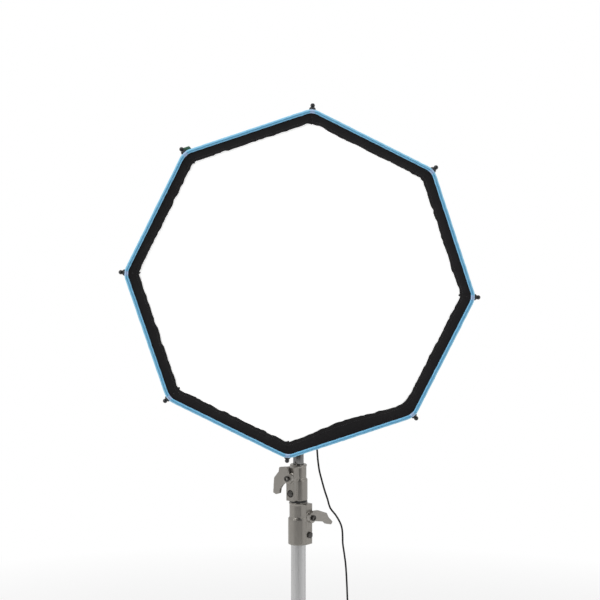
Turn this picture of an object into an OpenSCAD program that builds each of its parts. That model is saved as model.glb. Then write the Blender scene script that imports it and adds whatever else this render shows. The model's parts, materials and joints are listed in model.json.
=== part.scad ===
// Eight-sided studio softbox on its lamp head, yoke and low floor stand.
// Millimetres, +Z up. The origin is on the floor, on the stand's axis, and the softbox faces -Y.

/* [Softbox] */
// Corner radius of the open front, to the outer edge of the binding
bag_r = 430; // [424:1:434]
// Turn of the softbox in its speed ring, clockwise from the front, in degrees
bag_turn = 4.1; // [0:0.1:22.5]
// Distance from the stand's axis to the front of the binding
front_d = 456; // [452:1:460]
// Depth of the front lip, from the binding to the diffuser
lip_depth = 30; // [26:1:34]
// Diameter of a rod
rod_d = 6; // [5:0.5:6]

/* [Head] */
// Height of the lamp's optical axis above the floor
axis_h = 1370; // [1360:1:1420]
// Radius of the lamp housing
housing_r = 140; // [136:1:142]
// Length of the nose and housing behind the speed ring's adapter
lamp_back = 175; // [172:1:180]
// Distance from the tilt axis down to the yoke's cross bar
yoke_drop = 400; // [380:1:410]
// Inside width of the yoke
yoke_w = 340.6; // [340.6:0.1:341]
// Thickness of the yoke's flat bar
yoke_t = 8; // [8]

/* [Stand] */
// Diameter of the junior pin
pin_d = 28.6; // [28.6]
// Diameter of the riser tube
riser_d = 35; // [34:0.5:36]
// Diameter of the column tube
column_d = 40; // [39:0.5:41]
// Height of the receiver's rim above the floor
receiver_top = 840; // [836:1:842]
// Reach of a foot from the stand's axis
foot_reach = 442; // [430:1:450]
// Height of the leg hinges above the floor
hinge_h = 400; // [395:1:405]

/* [Lead] */
// Diameter of the power lead
lead_d = 5; // [4.5:0.5:5.5]

/* [Hidden] */
$fn = 64;

run = 0.05;      // radial clearance of a running fit
gap = 0.4;       // clearance between sewn panels
side_a = 22.5;   // half the angle of one side of the octagon

yoke_bar_w = 45;
yoke_bend = 52;      // inside radius of the yoke's lower corners
yoke_above = 22;     // how far the arms run on above the tilt axis

// Axial places on the optical axis, measured forward from the stand's axis
ring_z = 96;
ring_t = 12;
skin_z = 112;
rod_hinge_z = 116;
rod_hinge_r = 86;
tip_z = front_d - 16;
skin_front_z = tip_z - 3.5;
lip_back_z = front_d - 2 - lip_depth;
diffuser_z = lip_back_z - 3.5;
baffle_z = 280;
nose_z = 84;
housing_z = 60;
sink_z = -40;
panel_z = -125;

// Radii of the cloth cone: the skin's corner line, at a place on the axis
skin_back_r = 98;
skin_front_r = bag_r - 8;
skin_slope = (skin_front_r - skin_back_r) / (tip_z - skin_z);
function skin_r(z) = skin_back_r + (z - skin_z) * skin_slope;
lining_in = 20.5;
rod_end_r = bag_r - 17;
rod_rise = tip_z - rod_hinge_z;
rod_run = rod_end_r - rod_hinge_r;
rod_len = sqrt(rod_rise * rod_rise + rod_run * rod_run);
rod_lean = atan(rod_run / rod_rise);
ball_r = 5.5;
ball_at = bag_r + 8;

// Heights of the stand's castings
receiver_h = 97;
receiver_z = receiver_top - receiver_h;
bush_h = 5;
clamp_top = receiver_z - bush_h;
clamp_h = 115;
clamp_z = clamp_top - clamp_h;
receiver_a = -126;   // azimuth of the receiver's screw
clamp_a = -40;       // azimuth of the clamp's screw
collar_a = -90;      // azimuth of the leg collar's screw
receiver_screw_z = 808;
receiver_bolt_z = 765;
clamp_screw_z = 700;
clamp_bolt_z = 652;
screw_r = 5;
ear_reach = 39;
ear_r = 14;
lever_t = 11;
lever_gap = 0.4;
rib_w = 26;
rib_reach = 37.6;    // outer face of a rib, from the stand's axis
hung_lever = [
    [-4, 12], [1, 27], [9, 31], [28, 28], [30, 16], [45, -2], [48, -43], [39, -47], [27, -43],
    [25, -30], [18, -20], [10, -13], [-2, -12]
];
level_lever = [
    [-2, 13], [9, 17], [26, 16], [61, 3], [69, -10], [86, -25], [80, -32], [60, -27], [50, -19], [11, -11], [0, -12]
];
small_lever = [
    [-8, 4], [-10, 24], [-15, 42], [-9, 54], [9, 54], [15, 42], [10, 24], [8, 4]
];

// Leg triangle: hinge, foot and strut pivots are all one radius from the axis
leg_r = 11;
hinge_r = 42;
foot_z = 11;
foot_r = 14;
leg_run = foot_reach - hinge_r;
leg_fall = hinge_h - foot_z;
leg_len = sqrt(leg_run * leg_run + leg_fall * leg_fall);
leg_lean = atan(leg_run / leg_fall);
strut_len = 272;
strut_z = hinge_h - 2 * strut_len * cos(leg_lean);
leg_azimuths = [90, 210, 330];
hinge_pin_r = 5;
strut_pin_r = 4;

// Lead: route points, by hand
gland_at = [50, 150, 1205];
clip_at = [70, 30, 959];
head_route = [
    [50, 150, 1204.8], [50, 150, 1180], [53, 154, 1140], [58, 156, 1090], [67, 154, 1040],
    [79, 147, 990], [92, 134, 945], [104, 115, 914], [111, 92, 902], [113, 68, 910],
    [108, 47, 932], [97, 35, 950], [84, 31, 958], [78, 30, 959]
];
upper_route = [
    [61.9, 30, 959], [56, 31, 956], [50, 33, 948], [47, 36, 932], [47, 40, 912], [49, 45, 890],
    [51, 51, 866], [53, 56, 840], [57, 62, 810], [63, 66, 785], [71, 70, 755], [79.7, 73.8, 728]
];
lower_route = [
    [80, 74, 727], [87, 77, 703], [101, 80, 684], [111, 84, 667], [118, 87, 650], [121, 90, 630],
    [122, 94, 600], [126, 98, 572], [131, 100, 530], [135, 101, 450], [137, 102, 360],
    [137, 103, 270], [137, 105, 180], [138, 108, 110], [140, 113, 55], [143, 120, 22],
    [148, 130, 6], [155, 142, 2.5], [164, 156, 2.5]
];
coil_at = [202, 155];
coil_r = 27.5;
coil_w = 15;

// ---- shared shapes ----

// Children drawn about the optical axis: X stays, Y becomes up, Z points forward
module head() translate([0, 0, axis_h]) rotate([90, 0, 0]) children();

// Children turned to corner k of the octagon, with X pointing out along the corner
module corner(k) rotate([0, 0, 45 * (k - 1) - bag_turn]) children();

// Children turned to the middle of side k
module side(k) rotate([0, 0, 45 * (k - 1) + side_a - bag_turn]) children();

// One flat sewn panel between two corners, from (r0, z0) to (r1, z1), t thick inwards
module panel(r0, z0, r1, z1, t) {
    c = cos(side_a);
    s = sin(side_a);
    ring = function(r, z) [
        [r * c, gap - r * s, z], [r * c, r * s - gap, z],
        [(r - t) * c, (r - t) * s - gap, z], [(r - t) * c, gap - (r - t) * s, z]
    ];
    polyhedron(
        points = concat(ring(r0, z0), ring(r1, z1)),
        faces = [[0, 1, 2, 3], [4, 5, 1, 0], [7, 6, 5, 4], [5, 6, 2, 1], [6, 7, 3, 2], [7, 4, 0, 3]]
    );
}

// A disc with a round hole, from z0 upwards
module ring_of(r_out, r_in, z0, h) {
    translate([0, 0, z0]) difference() {
        cylinder(r = r_out, h = h);
        translate([0, 0, -1]) cylinder(r = r_in, h = h + 2);
    }
}

// Children placed on the stand's axis at height z, with local Z pointing out along azimuth a
module screw_axis(a, z) translate([0, 0, z]) rotate([0, 0, a]) rotate([0, 90, 0]) children();

// Cast boss for a screw, bored right through to the stand's axis
module ear(a, z, reach, r) screw_axis(a, z) cylinder(r = r, h = reach);
module ear_bore(a, z, r) screw_axis(a, z) translate([0, 0, 12]) cylinder(r = r, h = 60);

// Upright rib that carries the bosses of a casting, from height z0 to z1
module rib(a, z0, z1, reach) translate([0, 0, z0]) rotate([0, 0, a])
    translate([14, -rib_w / 2, 0]) cube([reach - 14, rib_w, z1 - z0]);

// Bent lever on its hub, with its screw; outline points are [across the stand, up]
module paddle(outline, hand, inner, hub = ear_r) {
    hub_z = ear_reach + lever_gap;
    translate([0, 0, inner]) cylinder(r = screw_r, h = hub_z - inner + 2);
    translate([0, 0, hub_z]) cylinder(r = hub, h = lever_t);
    translate([0, 0, hub_z + 1]) linear_extrude(lever_t - 2)
        polygon([for (p = outline) [-p[1], hand * p[0]]]);
    translate([0, 0, hub_z + lever_t - 1]) cylinder(r = hub / 2, h = 4, $fn = 6);
}

// Smooth curve through hand-placed points, n steps to a span
function blend4(a, b, c, d, t) = 0.5 * (2 * b + (c - a) * t + (2 * a - 5 * b + 4 * c - d) * t * t
    + (3 * b - a - 3 * c + d) * t * t * t);
function smooth(p, n) = let (last = len(p) - 1) concat(
    [for (i = [0:last - 1]) for (j = [0:n - 1])
        blend4(p[max(i - 1, 0)], p[i], p[i + 1], p[min(i + 2, last)], j / n)],
    [p[last]]);
function unit(v) = v / norm(v);
function heading(p, i) = unit(p[min(i + 1, len(p) - 1)] - p[max(i - 1, 0)]);
function side_of(h) = unit(cross(h, abs(h[0]) < 0.8 ? [1, 0, 0] : [0, 1, 0]));

// A tube of m sides swept along the points p
module swept(p, r, m = 8) {
    rings = [for (i = [0:len(p) - 1]) let (h = heading(p, i), u = side_of(h), v = cross(h, u))
        for (j = [0:m - 1]) p[i] + r * (cos(360 * j / m) * u + sin(360 * j / m) * v)];
    n = len(p);
    polyhedron(
        points = rings,
        faces = concat(
            [[for (j = [0:m - 1]) j]],
            [[for (j = [m - 1:-1:0]) (n - 1) * m + j]],
            [for (i = [0:n - 2]) for (j = [0:m - 1]) let (k = (j + 1) % m)
                each [[i * m + k, i * m + j, (i + 1) * m + j], [i * m + k, (i + 1) * m + j, (i + 1) * m + k]]]
        )
    );
}

// ---- softbox ----

module bag_skin() color("#17181a") head() for (k = [1:8]) side(k) {
    panel(skin_r(skin_z), skin_z, skin_r(skin_front_z), skin_front_z, 2);
    panel(102, ring_z + 1, 102, skin_z - 0.5, 1.6);
}

module bag_lining() color("silver") head() for (k = [1:8]) side(k)
    panel(skin_r(135) - lining_in, 135, skin_r(diffuser_z - 2) - lining_in, diffuser_z - 2, 1.4);

module front_lip() color("#141414") head() for (k = [1:8]) side(k)
    panel(bag_r - 44, lip_back_z, bag_r - 12, front_d - 2, 1.5);

module edge_binding() color("#5fa8d3") head() for (k = [1:8]) side(k)
    panel(bag_r, tip_z + 3.5, bag_r, front_d, 10.2);

module front_diffuser() color("white") head() corner(1)
    translate([0, 0, diffuser_z]) cylinder(r = bag_r - 45, h = 1.5, $fn = 8);

module inner_baffle() color("#f4f2ee") head() corner(1)
    translate([0, 0, baffle_z]) cylinder(r = skin_r(baffle_z) - lining_in - 18, h = 1.5, $fn = 8);

module corner_pockets() color("#101010") head() for (k = [1:8]) corner(k) difference() {
    translate([0, 0, tip_z - 3]) linear_extrude(6)
        polygon([[bag_r - 6, -7.5], [bag_r + 2, -4.5], [bag_r + 2, 4.5], [bag_r - 6, 7.5]]);
    translate([bag_r - 12, 0, tip_z]) rotate([0, 90, 0]) cylinder(r = 2.7, h = 20);
}

module marker_tab() color("#2e6b48") head() corner(4)
    translate([bag_r - 3, -19, tip_z - 1]) cube([7, 10, 1.6]);

module ring_hub() color("#222325") head() difference() {
    union() {
        ring_of(92, 62, ring_z, ring_t);
        for (k = [1:8], s = [-1, 1]) corner(k)
            translate([80, s * 5.7 - 1.5, ring_z + ring_t - 2]) cube([12, 3, 15]);
    }
    for (k = [1:8]) corner(k) translate([rod_hinge_r, 0, rod_hinge_z]) rotate([90, 0, 0])
        cylinder(r = 2.5, h = 20, center = true);
    for (k = [1:8]) side(k) translate([77, 0, ring_z - 1]) cylinder(r = 7, h = ring_t + 2);
}

module clevis_pins() color("silver") head() for (k = [1:8]) corner(k)
    translate([rod_hinge_r, 0, rod_hinge_z]) rotate([90, 0, 0])
        cylinder(r = 2.5, h = 14.4, center = true);

module rod(k) color("#1c1c1e") head() corner(k) {
    difference() {
        union() {
            translate([rod_hinge_r, 0, rod_hinge_z]) rotate([90, 0, 0]) cylinder(r = 5, h = 8, center = true);
            translate([rod_hinge_r, 0, rod_hinge_z]) rotate([0, rod_lean, 0])
                translate([0, 0, 3.5]) cylinder(r = rod_d / 2, h = rod_len - 3.5);
        }
        translate([rod_hinge_r, 0, rod_hinge_z]) rotate([90, 0, 0])
            cylinder(r = 2.5 + run, h = 20, center = true);
    }
    translate([rod_end_r, 0, tip_z]) sphere(r = 3.4);
    translate([rod_end_r, 0, tip_z]) rotate([0, 90, 0]) cylinder(r = 2.5, h = ball_at - rod_end_r);
    translate([ball_at, 0, tip_z]) sphere(r = ball_r);
}

// ---- lamp ----

module adapter_ring() color("#8f9296") head() difference() {
    union() {
        translate([0, 0, nose_z]) cylinder(r = 62 - 1.6 * run, h = skin_z - nose_z);
        ring_of(70, 50, ring_z + ring_t + 0.5, skin_z - ring_z - ring_t - 0.5);
        ring_of(82, 50, nose_z, ring_z - nose_z - 0.5);
    }
    translate([0, 0, nose_z - 1]) cylinder(r = 54, h = 60);
}

module lamp_housing() color("#2a2b2e") head() {
    difference() {
        union() {
            translate([0, 0, sink_z]) cylinder(r = housing_r, h = housing_z - sink_z - 12);
            translate([0, 0, housing_z - 12]) cylinder(r1 = housing_r, r2 = housing_r - 12, h = 12);
            translate([0, 0, housing_z - 1]) cylinder(r = 88, h = nose_z - housing_z + 1);
        }
        translate([0, 0, sink_z - 1]) cylinder(r = housing_r - 4, h = housing_z - sink_z - 13);
        translate([0, 0, housing_z - 30]) cylinder(r = 60, h = 80);
        translate([-22, 72, nose_z - 9]) cube([44, 20, 20]);
        for (k = [0:5]) rotate([0, 0, 60 * k + 30]) translate([112, 0, housing_z - 10]) cylinder(r = 3, h = 20);
    }
}

module heat_sink() color("#3a3c40") head() {
    translate([0, 0, panel_z + 0.4]) cylinder(r = 100, h = sink_z - panel_z - 0.8);
    for (k = [0:29]) rotate([0, 0, 12 * k + 6])
        translate([96, -1.25, panel_z + 2]) cube([housing_r - 100, 2.5, sink_z - panel_z - 4]);
    translate([0, 0, sink_z - 1]) cylinder(r = 52, h = 56);
}

module led_board() color("#f2e6b0") head() {
    ring_of(48, 21, 15.2, 3);
    translate([0, 0, 15.2]) cylinder(r = 20.8, h = 4);
}

module led_lens() color([0.9, 0.95, 1, 0.4]) head() translate([0, 0, 20]) rotate_extrude()
    difference() {
        intersection() {
            circle(r = 44);
            square([44, 44]);
        }
        intersection() {
            circle(r = 40);
            square([40, 40]);
        }
    }

module rear_panel() color("#26272a") head() difference() {
    union() {
        translate([0, 0, -lamp_back + 10]) cylinder(r = housing_r - 2, h = lamp_back + panel_z - 10);
        translate([0, 0, -lamp_back]) cylinder(r1 = housing_r - 14, r2 = housing_r - 2, h = 10.01);
    }
    translate([0, 0, -lamp_back + 5]) cylinder(r = housing_r - 20, h = 80);
    translate([-35, 10, -lamp_back - 1]) cube([70, 42, 2.6]);
    translate([-45, -35, -lamp_back - 1]) cylinder(r = 3.05, h = 10);
    translate([35, -46, -lamp_back - 1]) cube([20.4, 26.4, 10]);
}

module display_window() color("#0c1418") head()
    translate([-34.7, 10.3, -lamp_back + 0.2]) cube([69.4, 41.4, 1.2]);

module tilt_trunnions() color("#55585c") head() for (s = [-1, 1]) {
    rotate([0, s * 90, 0]) {
        translate([0, 0, housing_r - 4]) cylinder(r = 26, h = 168 - housing_r + 4);
        translate([0, 0, housing_r]) cylinder(r = 8, h = (s > 0 ? 196 : 180) - housing_r);
    }
    if (s < 0) rotate([0, -90, 0]) translate([0, 0, 178.8]) cylinder(r = 16, h = 10);
}

module rear_handle() color("#1b1b1d") head() {
    for (s = [-1, 1]) translate([s * 70, 80, -lamp_back - 34]) cylinder(r = 8, h = 33.8);
    translate([-80, 80, -lamp_back - 34]) rotate([0, 90, 0]) cylinder(r = 10, h = 160);
}

module cord_gland() color("#111111") translate(gland_at) {
    cylinder(r1 = lead_d / 2 + 1.2, r2 = 6, h = 22);
    translate([0, 0, 21]) cylinder(r = 9, h = 10);
    translate([0, 0, 30]) cylinder(r = 6, h = 8);
}

module lamp_screws() color("#77797c") head() {
    for (k = [0:5]) rotate([0, 0, 60 * k + 30]) translate([112, 0, housing_z - 4]) {
        translate([0, 0, -5]) cylinder(r = 2.9, h = 9);
        translate([0, 0, 4.1]) cylinder(r = 5, h = 3);
    }
    for (k = [0:5]) rotate([0, 0, 60 * k + 15]) translate([116, 0, -lamp_back - 2.2]) cylinder(r = 4, h = 2);
}

module tuning_knob() color("#141415") head() translate([-45, -35, 0]) {
    translate([0, 0, -lamp_back - 16.5]) cylinder(r = 14, h = 16);
    translate([0, 0, -lamp_back - 1]) cylinder(r = 3, h = 9);
}

module power_switch() color("#b3262a") head() translate([45.2, -32.8, -lamp_back]) {
    translate([-9.6, -12, -2.4]) cube([19.2, 24, 4.8]);
    rotate([0, 90, 0]) cylinder(r = 1.5, h = 20.2, center = true);
}

module spring_catch() color("#bdbfc2") head() translate([-21, 72.5, nose_z - 8]) {
    cube([42, 18, 7.7]);
    translate([9, 17, 0]) cube([24, 6, 7.7]);
}

// ---- yoke ----

// Filled U outline of width w whose lower corners have radius r, standing on local Y = 0
module u_outline(w, r, h) {
    translate([-w / 2, r]) square([w, h - r]);
    translate([r - w / 2, 0]) square([w - 2 * r, h]);
    for (s = [-1, 1]) translate([s * (w / 2 - r), r]) circle(r = r);
}

module yoke_arm() color("#303236") difference() {
    union() {
        translate([0, yoke_bar_w / 2, axis_h - yoke_drop - yoke_t]) rotate([90, 0, 0])
            linear_extrude(yoke_bar_w) difference() {
                u_outline(yoke_w + 2 * yoke_t, yoke_bend + yoke_t, yoke_drop + yoke_t + yoke_above);
                translate([0, yoke_t]) u_outline(yoke_w, yoke_bend, yoke_drop + yoke_above + 1);
            }
        translate([0, 0, axis_h - yoke_drop - 34]) cylinder(r = 24, h = 30);
    }
    for (s = [-1, 1]) translate([s * (yoke_w / 2 + yoke_t / 2), 0, axis_h]) rotate([0, 90, 0])
        cylinder(r = 8 + run, h = 20, center = true);
    for (s = [-1, 1]) translate([-yoke_w, s * (yoke_bar_w / 2 + 1), axis_h + yoke_above + 1])
        rotate([0, 90, 0]) rotate([0, 0, 45]) translate([-12, -12, 0]) cube([24, 24, 2 * yoke_w]);
    translate([0, 0, axis_h - yoke_drop - 60]) cylinder(r = 8, h = 80);
    translate([-90, 0, axis_h - yoke_drop - 20]) cylinder(r = 5.5, h = 40);
}

module junior_pin() color("#c9cbcd") {
    translate([0, 0, receiver_top - 78]) difference() {
        cylinder(r = pin_d / 2, h = axis_h - yoke_drop - 34 - receiver_top + 78);
        difference() {
            translate([0, 0, 40]) cylinder(r = 20, h = 10);
            translate([0, 0, 39]) cylinder(r = 13, h = 12);
        }
    }
    translate([0, 0, axis_h - yoke_drop - 35]) cylinder(r = 7.95, h = 36);
    translate([0, 0, axis_h - yoke_drop + 0.3]) cylinder(r = 13, h = 9, $fn = 6);
}

module friction_washers() color("#17171a") head() for (s = [-1, 1]) rotate([0, s * 90, 0])
    ring_of(22, 8.3, 168.2, 1.8);

module cord_clip() color("#101010") translate(clip_at) difference() {
    translate([-8, -7.3, -7]) cube([16, 14, 14]);
    translate([-20, 0, 0]) rotate([0, 90, 0]) cylinder(r = lead_d / 2 + 0.3, h = 40);
}

module tilt_lever() color("#6f7174") translate([0, 0, axis_h]) rotate([0, 90, 0]) difference() {
    union() {
        translate([0, 0, 178.9]) cylinder(r = 15, h = 15);
        translate([0, 0, 182]) rotate([0, 0, 250]) linear_extrude(9) polygon([
            [-9, 8], [-11, 30], [-16, 62], [-8, 74], [10, 74], [17, 62], [11, 30], [9, 8]
        ]);
    }
    translate([0, 0, 170]) cylinder(r = 8 + run, h = 40);
}

// ---- stand ----

module receiver_casting() color("#8b8880") difference() {
    union() {
        translate([0, 0, receiver_z]) cylinder(r = 24.5, h = 56);
        translate([0, 0, receiver_z + 56]) cylinder(r1 = 24.5, r2 = 21.5, h = 3);
        translate([0, 0, receiver_z + 56]) cylinder(r = 21.5, h = receiver_h - 56);
        rib(receiver_a, receiver_z + 2, receiver_top - 3, rib_reach);
        ear(receiver_a, receiver_screw_z, ear_reach, ear_r);
        ear(receiver_a, receiver_bolt_z, ear_reach - 1, ear_r - 3);
    }
    translate([0, 0, receiver_top - 80]) cylinder(r = pin_d / 2 + run, h = 100);
    translate([0, 0, receiver_z - 1]) cylinder(r = riser_d / 2, h = receiver_h - 79);
    ear_bore(receiver_a, receiver_screw_z, screw_r + run);
    ear_bore(receiver_a, receiver_bolt_z, 4);
    screw_axis(receiver_a, receiver_bolt_z) translate([0, 0, ear_reach - 6]) cylinder(r = 9.6, h = 20);
}

module receiver_bolt() color("#a09d95") screw_axis(receiver_a, receiver_bolt_z) {
    translate([0, 0, 18]) cylinder(r = 4, h = 16);
    translate([0, 0, ear_reach - 5.8]) cylinder(r = 9, h = 5, $fn = 6);
}

module receiver_lever() color("#98958d") screw_axis(receiver_a, receiver_screw_z) paddle(hung_lever, -1, 16);

module riser_tube() color("#c4c6c8") difference() {
    translate([0, 0, 80]) cylinder(r = riser_d / 2, h = receiver_top - 80 - 80);
    translate([0, 0, 79]) cylinder(r = riser_d / 2 - 2, h = receiver_top);
}

module riser_bush() color("#151515") ring_of(24, riser_d / 2 + run, clamp_top, bush_h - 0.2);

module clamp_casting() color("#8b8880") difference() {
    union() {
        translate([0, 0, clamp_z]) cylinder(r = 27.5, h = 70);
        translate([0, 0, clamp_z + 70]) cylinder(r1 = 27.5, r2 = 24, h = 4);
        translate([0, 0, clamp_z + 70]) cylinder(r = 24, h = clamp_h - 70);
        rib(clamp_a, clamp_z + 3, clamp_top - 2, rib_reach);
        ear(clamp_a, clamp_screw_z, ear_reach, ear_r);
        ear(clamp_a, clamp_bolt_z, ear_reach - 1, ear_r - 1);
    }
    translate([0, 0, clamp_z - 1]) cylinder(r = column_d / 2, h = 61);
    translate([0, 0, clamp_z - 1]) cylinder(r = riser_d / 2 + run, h = clamp_h + 2);
    ear_bore(clamp_a, clamp_screw_z, screw_r + run);
    ear_bore(clamp_a, clamp_bolt_z, 4);
}

module clamp_bolt() color("#a09d95") screw_axis(clamp_a, clamp_bolt_z) {
    translate([0, 0, 20.5]) cylinder(r = 4, h = ear_reach - 20.5);
    translate([0, 0, ear_reach - 0.8]) cylinder(r = 9, h = 5, $fn = 6);
}

module clamp_lever() color("#98958d") screw_axis(clamp_a, clamp_screw_z) paddle(level_lever, 1, 18.6);

module column_tube() color("#c0c2c4") difference() {
    translate([0, 0, 8]) cylinder(r = column_d / 2, h = clamp_z + 52);
    translate([0, 0, 10]) cylinder(r = riser_d / 2 + 0.6, h = clamp_z + 60);
}

module leg_base() color("#8b8880") difference() {
    union() {
        translate([0, 0, 7]) cylinder(r = 30, h = 31);
        for (a = leg_azimuths) rotate([0, 0, a]) {
            translate([18, -11.2, strut_z - 8]) cube([hinge_r - 18, 22.4, 16]);
            translate([hinge_r, 0, strut_z]) rotate([90, 0, 0]) cylinder(r = 8, h = 22.4, center = true);
        }
    }
    translate([0, 0, 8]) cylinder(r = column_d / 2, h = 60);
    for (a = leg_azimuths) rotate([0, 0, a]) translate([hinge_r, 0, strut_z]) rotate([90, 0, 0])
        cylinder(r = strut_pin_r + run, h = 40, center = true);
}

module leg_collar() color("#8b8880") difference() {
    union() {
        translate([0, 0, hinge_h - 22]) cylinder(r = 30, h = 44);
        for (a = leg_azimuths, s = [-1, 1]) rotate([0, 0, a]) {
            translate([22, s * 9.3 - 3, hinge_h - 12]) cube([hinge_r - 22, 6, 24]);
            translate([hinge_r, s * 9.3, hinge_h]) rotate([90, 0, 0]) cylinder(r = 12, h = 6, center = true);
        }
        for (a = leg_azimuths) rotate([0, 0, a]) translate([hinge_r, 0, hinge_h]) rotate([90, 0, 0])
            cylinder(r = hinge_pin_r, h = 28, center = true);
        ear(collar_a, hinge_h, ear_reach - 0.2, 11);
    }
    translate([0, 0, hinge_h - 30]) cylinder(r = column_d / 2 + run, h = 60);
    ear_bore(collar_a, hinge_h, screw_r + run);
}

module collar_lever() color("#98958d") screw_axis(collar_a, hinge_h) paddle(small_lever, 1, 20.8, 10);

module leg(i) color("#b9bbbd") rotate([0, 0, leg_azimuths[i - 1]]) translate([hinge_r, 0, hinge_h])
    rotate([0, 180 - leg_lean, 0]) {
        difference() {
            union() {
                rotate([90, 0, 0]) cylinder(r = 9, h = 12, center = true);
                translate([-9, -6, 0]) cube([18, 12, 34]);
                translate([0, 0, 24]) cylinder(r = leg_r, h = leg_len - 24);
            }
            rotate([90, 0, 0]) cylinder(r = hinge_pin_r + run, h = 40, center = true);
        }
        translate([0, 0, leg_len]) intersection() {
            sphere(r = foot_r);
            rotate([0, leg_lean - 180, 0]) translate([-20, -20, -foot_z]) cube(40);
        }
    }

module brace(i) color("#9da0a3") rotate([0, 0, leg_azimuths[i - 1]]) translate([hinge_r, 0, strut_z])
    rotate([0, leg_lean, 0]) {
        for (s = [-1, 1], z = [0, strut_len]) translate([0, s * 13.2, z]) rotate([90, 0, 0])
            cylinder(r = 8, h = 3, center = true);
        for (s = [-1, 1]) translate([-8, s * 13.2 - 1.5, 0]) cube([16, 3, strut_len]);
        rotate([90, 0, 0]) cylinder(r = strut_pin_r, h = 32, center = true);
        for (s = [-1, 1]) translate([0, s * 16, strut_len]) rotate([90, 0, 0])
            cylinder(r = 6, h = 3, center = true);
    }

// ---- lead ----

module cord_head() color("#0d0d0d") swept(smooth(head_route, 2), lead_d / 2);
module cord_upper() color("#0d0d0d") swept(smooth(upper_route, 1), lead_d / 2);
module cord_lower() color("#0d0d0d") swept(smooth(lower_route, 2), lead_d / 2);

module cord_coil() color("#0d0d0d") translate([coil_at[0], coil_at[1], 0]) rotate_extrude()
    translate([coil_r - coil_w / 2, 0]) square(coil_w);

module cord_plug() color("#161616") translate([coil_at[0] + 36, coil_at[1] - 12, 8]) rotate([90, 0, 0]) {
    cylinder(r1 = 3.5, r2 = 6, h = 16);
    translate([0, 0, 15.9]) cylinder(r = 8, h = 26);
    translate([0, 0, 41.8]) cylinder(r = 5.5, h = 10);
}

bag_skin();
bag_lining();
front_lip();
edge_binding();
front_diffuser();
inner_baffle();
corner_pockets();
marker_tab();
ring_hub();
clevis_pins();
rod(1);  // rod_1
rod(2);  // rod_2
rod(3);  // rod_3
rod(4);  // rod_4
rod(5);  // rod_5
rod(6);  // rod_6
rod(7);  // rod_7
rod(8);  // rod_8
adapter_ring();
lamp_housing();
heat_sink();
led_board();
led_lens();
rear_panel();
display_window();
tilt_trunnions();
rear_handle();
cord_gland();
lamp_screws();
tuning_knob();
power_switch();
spring_catch();
yoke_arm();
junior_pin();
friction_washers();
cord_clip();
tilt_lever();
receiver_casting();
riser_tube();
receiver_bolt();
receiver_lever();
riser_bush();
clamp_casting();
clamp_bolt();
column_tube();
leg_base();
clamp_lever();
leg_collar();
collar_lever();
leg(1);  // leg_1
leg(2);  // leg_2
leg(3);  // leg_3
brace(1);  // brace_1
brace(2);  // brace_2
brace(3);  // brace_3
cord_head();
cord_upper();
cord_lower();
cord_coil();
cord_plug();
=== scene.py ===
# Studio softbox on its lamp head, yoke and floor stand: the looks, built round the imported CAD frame.
import json
import math
import bmesh
import bpy
from mathutils import Matrix, Vector
from mathutils.noise import noise

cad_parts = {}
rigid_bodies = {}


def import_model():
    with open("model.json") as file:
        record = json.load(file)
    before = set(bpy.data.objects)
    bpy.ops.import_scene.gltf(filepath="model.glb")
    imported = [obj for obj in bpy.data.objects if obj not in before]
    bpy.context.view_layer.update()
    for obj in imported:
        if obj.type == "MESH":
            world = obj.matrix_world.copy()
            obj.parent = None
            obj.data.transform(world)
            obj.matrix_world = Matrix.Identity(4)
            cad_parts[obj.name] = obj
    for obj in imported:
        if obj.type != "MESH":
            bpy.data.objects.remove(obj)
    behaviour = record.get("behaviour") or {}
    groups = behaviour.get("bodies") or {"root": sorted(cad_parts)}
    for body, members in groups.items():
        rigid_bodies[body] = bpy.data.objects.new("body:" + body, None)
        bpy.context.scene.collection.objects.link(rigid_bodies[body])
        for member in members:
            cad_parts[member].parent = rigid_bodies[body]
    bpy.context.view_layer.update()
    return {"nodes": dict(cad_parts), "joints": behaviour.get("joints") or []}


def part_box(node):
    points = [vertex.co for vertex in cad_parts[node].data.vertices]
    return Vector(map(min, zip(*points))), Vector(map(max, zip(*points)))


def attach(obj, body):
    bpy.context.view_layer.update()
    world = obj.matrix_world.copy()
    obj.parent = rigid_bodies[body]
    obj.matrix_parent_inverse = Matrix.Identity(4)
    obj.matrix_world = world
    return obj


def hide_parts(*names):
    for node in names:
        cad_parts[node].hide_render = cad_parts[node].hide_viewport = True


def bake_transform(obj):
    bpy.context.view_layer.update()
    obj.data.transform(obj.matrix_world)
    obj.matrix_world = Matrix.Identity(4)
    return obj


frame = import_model()
scene = bpy.context.scene
joints = {j["name"]: j for j in frame["joints"]}

mm = 0.001
axisHeight = joints["head_tilt"]["pos_m"][2]
rodPivot = Vector(joints["rod_1_fold"]["pos_m"])
bagTurn = math.atan2(rodPivot.z - axisHeight, rodPivot.x)
rodHingeR = math.hypot(rodPivot.x, rodPivot.z - axisHeight)
rodHingeZ = -rodPivot.y
frontZ = -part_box("edge_binding")[0].y
bagR = (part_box("edge_binding")[1].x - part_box("edge_binding")[0].x) / 2 / math.cos(bagTurn)


def headPoint(x, y, z):
    # x to the right, y up and z forward from the stand's axis, about the lamp's optical axis
    return Vector((x, -z, axisHeight + y))


def aboutAxis(radius, azimuth, z):
    return headPoint(radius * math.cos(azimuth), radius * math.sin(azimuth), z)


def cornerAzimuth(k):
    return math.radians(45 * (k - 1)) + bagTurn


def middleOf(node):
    low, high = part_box(node)
    return (low + high) / 2


def smoothStep(a, b, x):
    t = max(0.0, min(1.0, (x - a) / (b - a)))
    return t * t * (3 - 2 * t)


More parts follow.
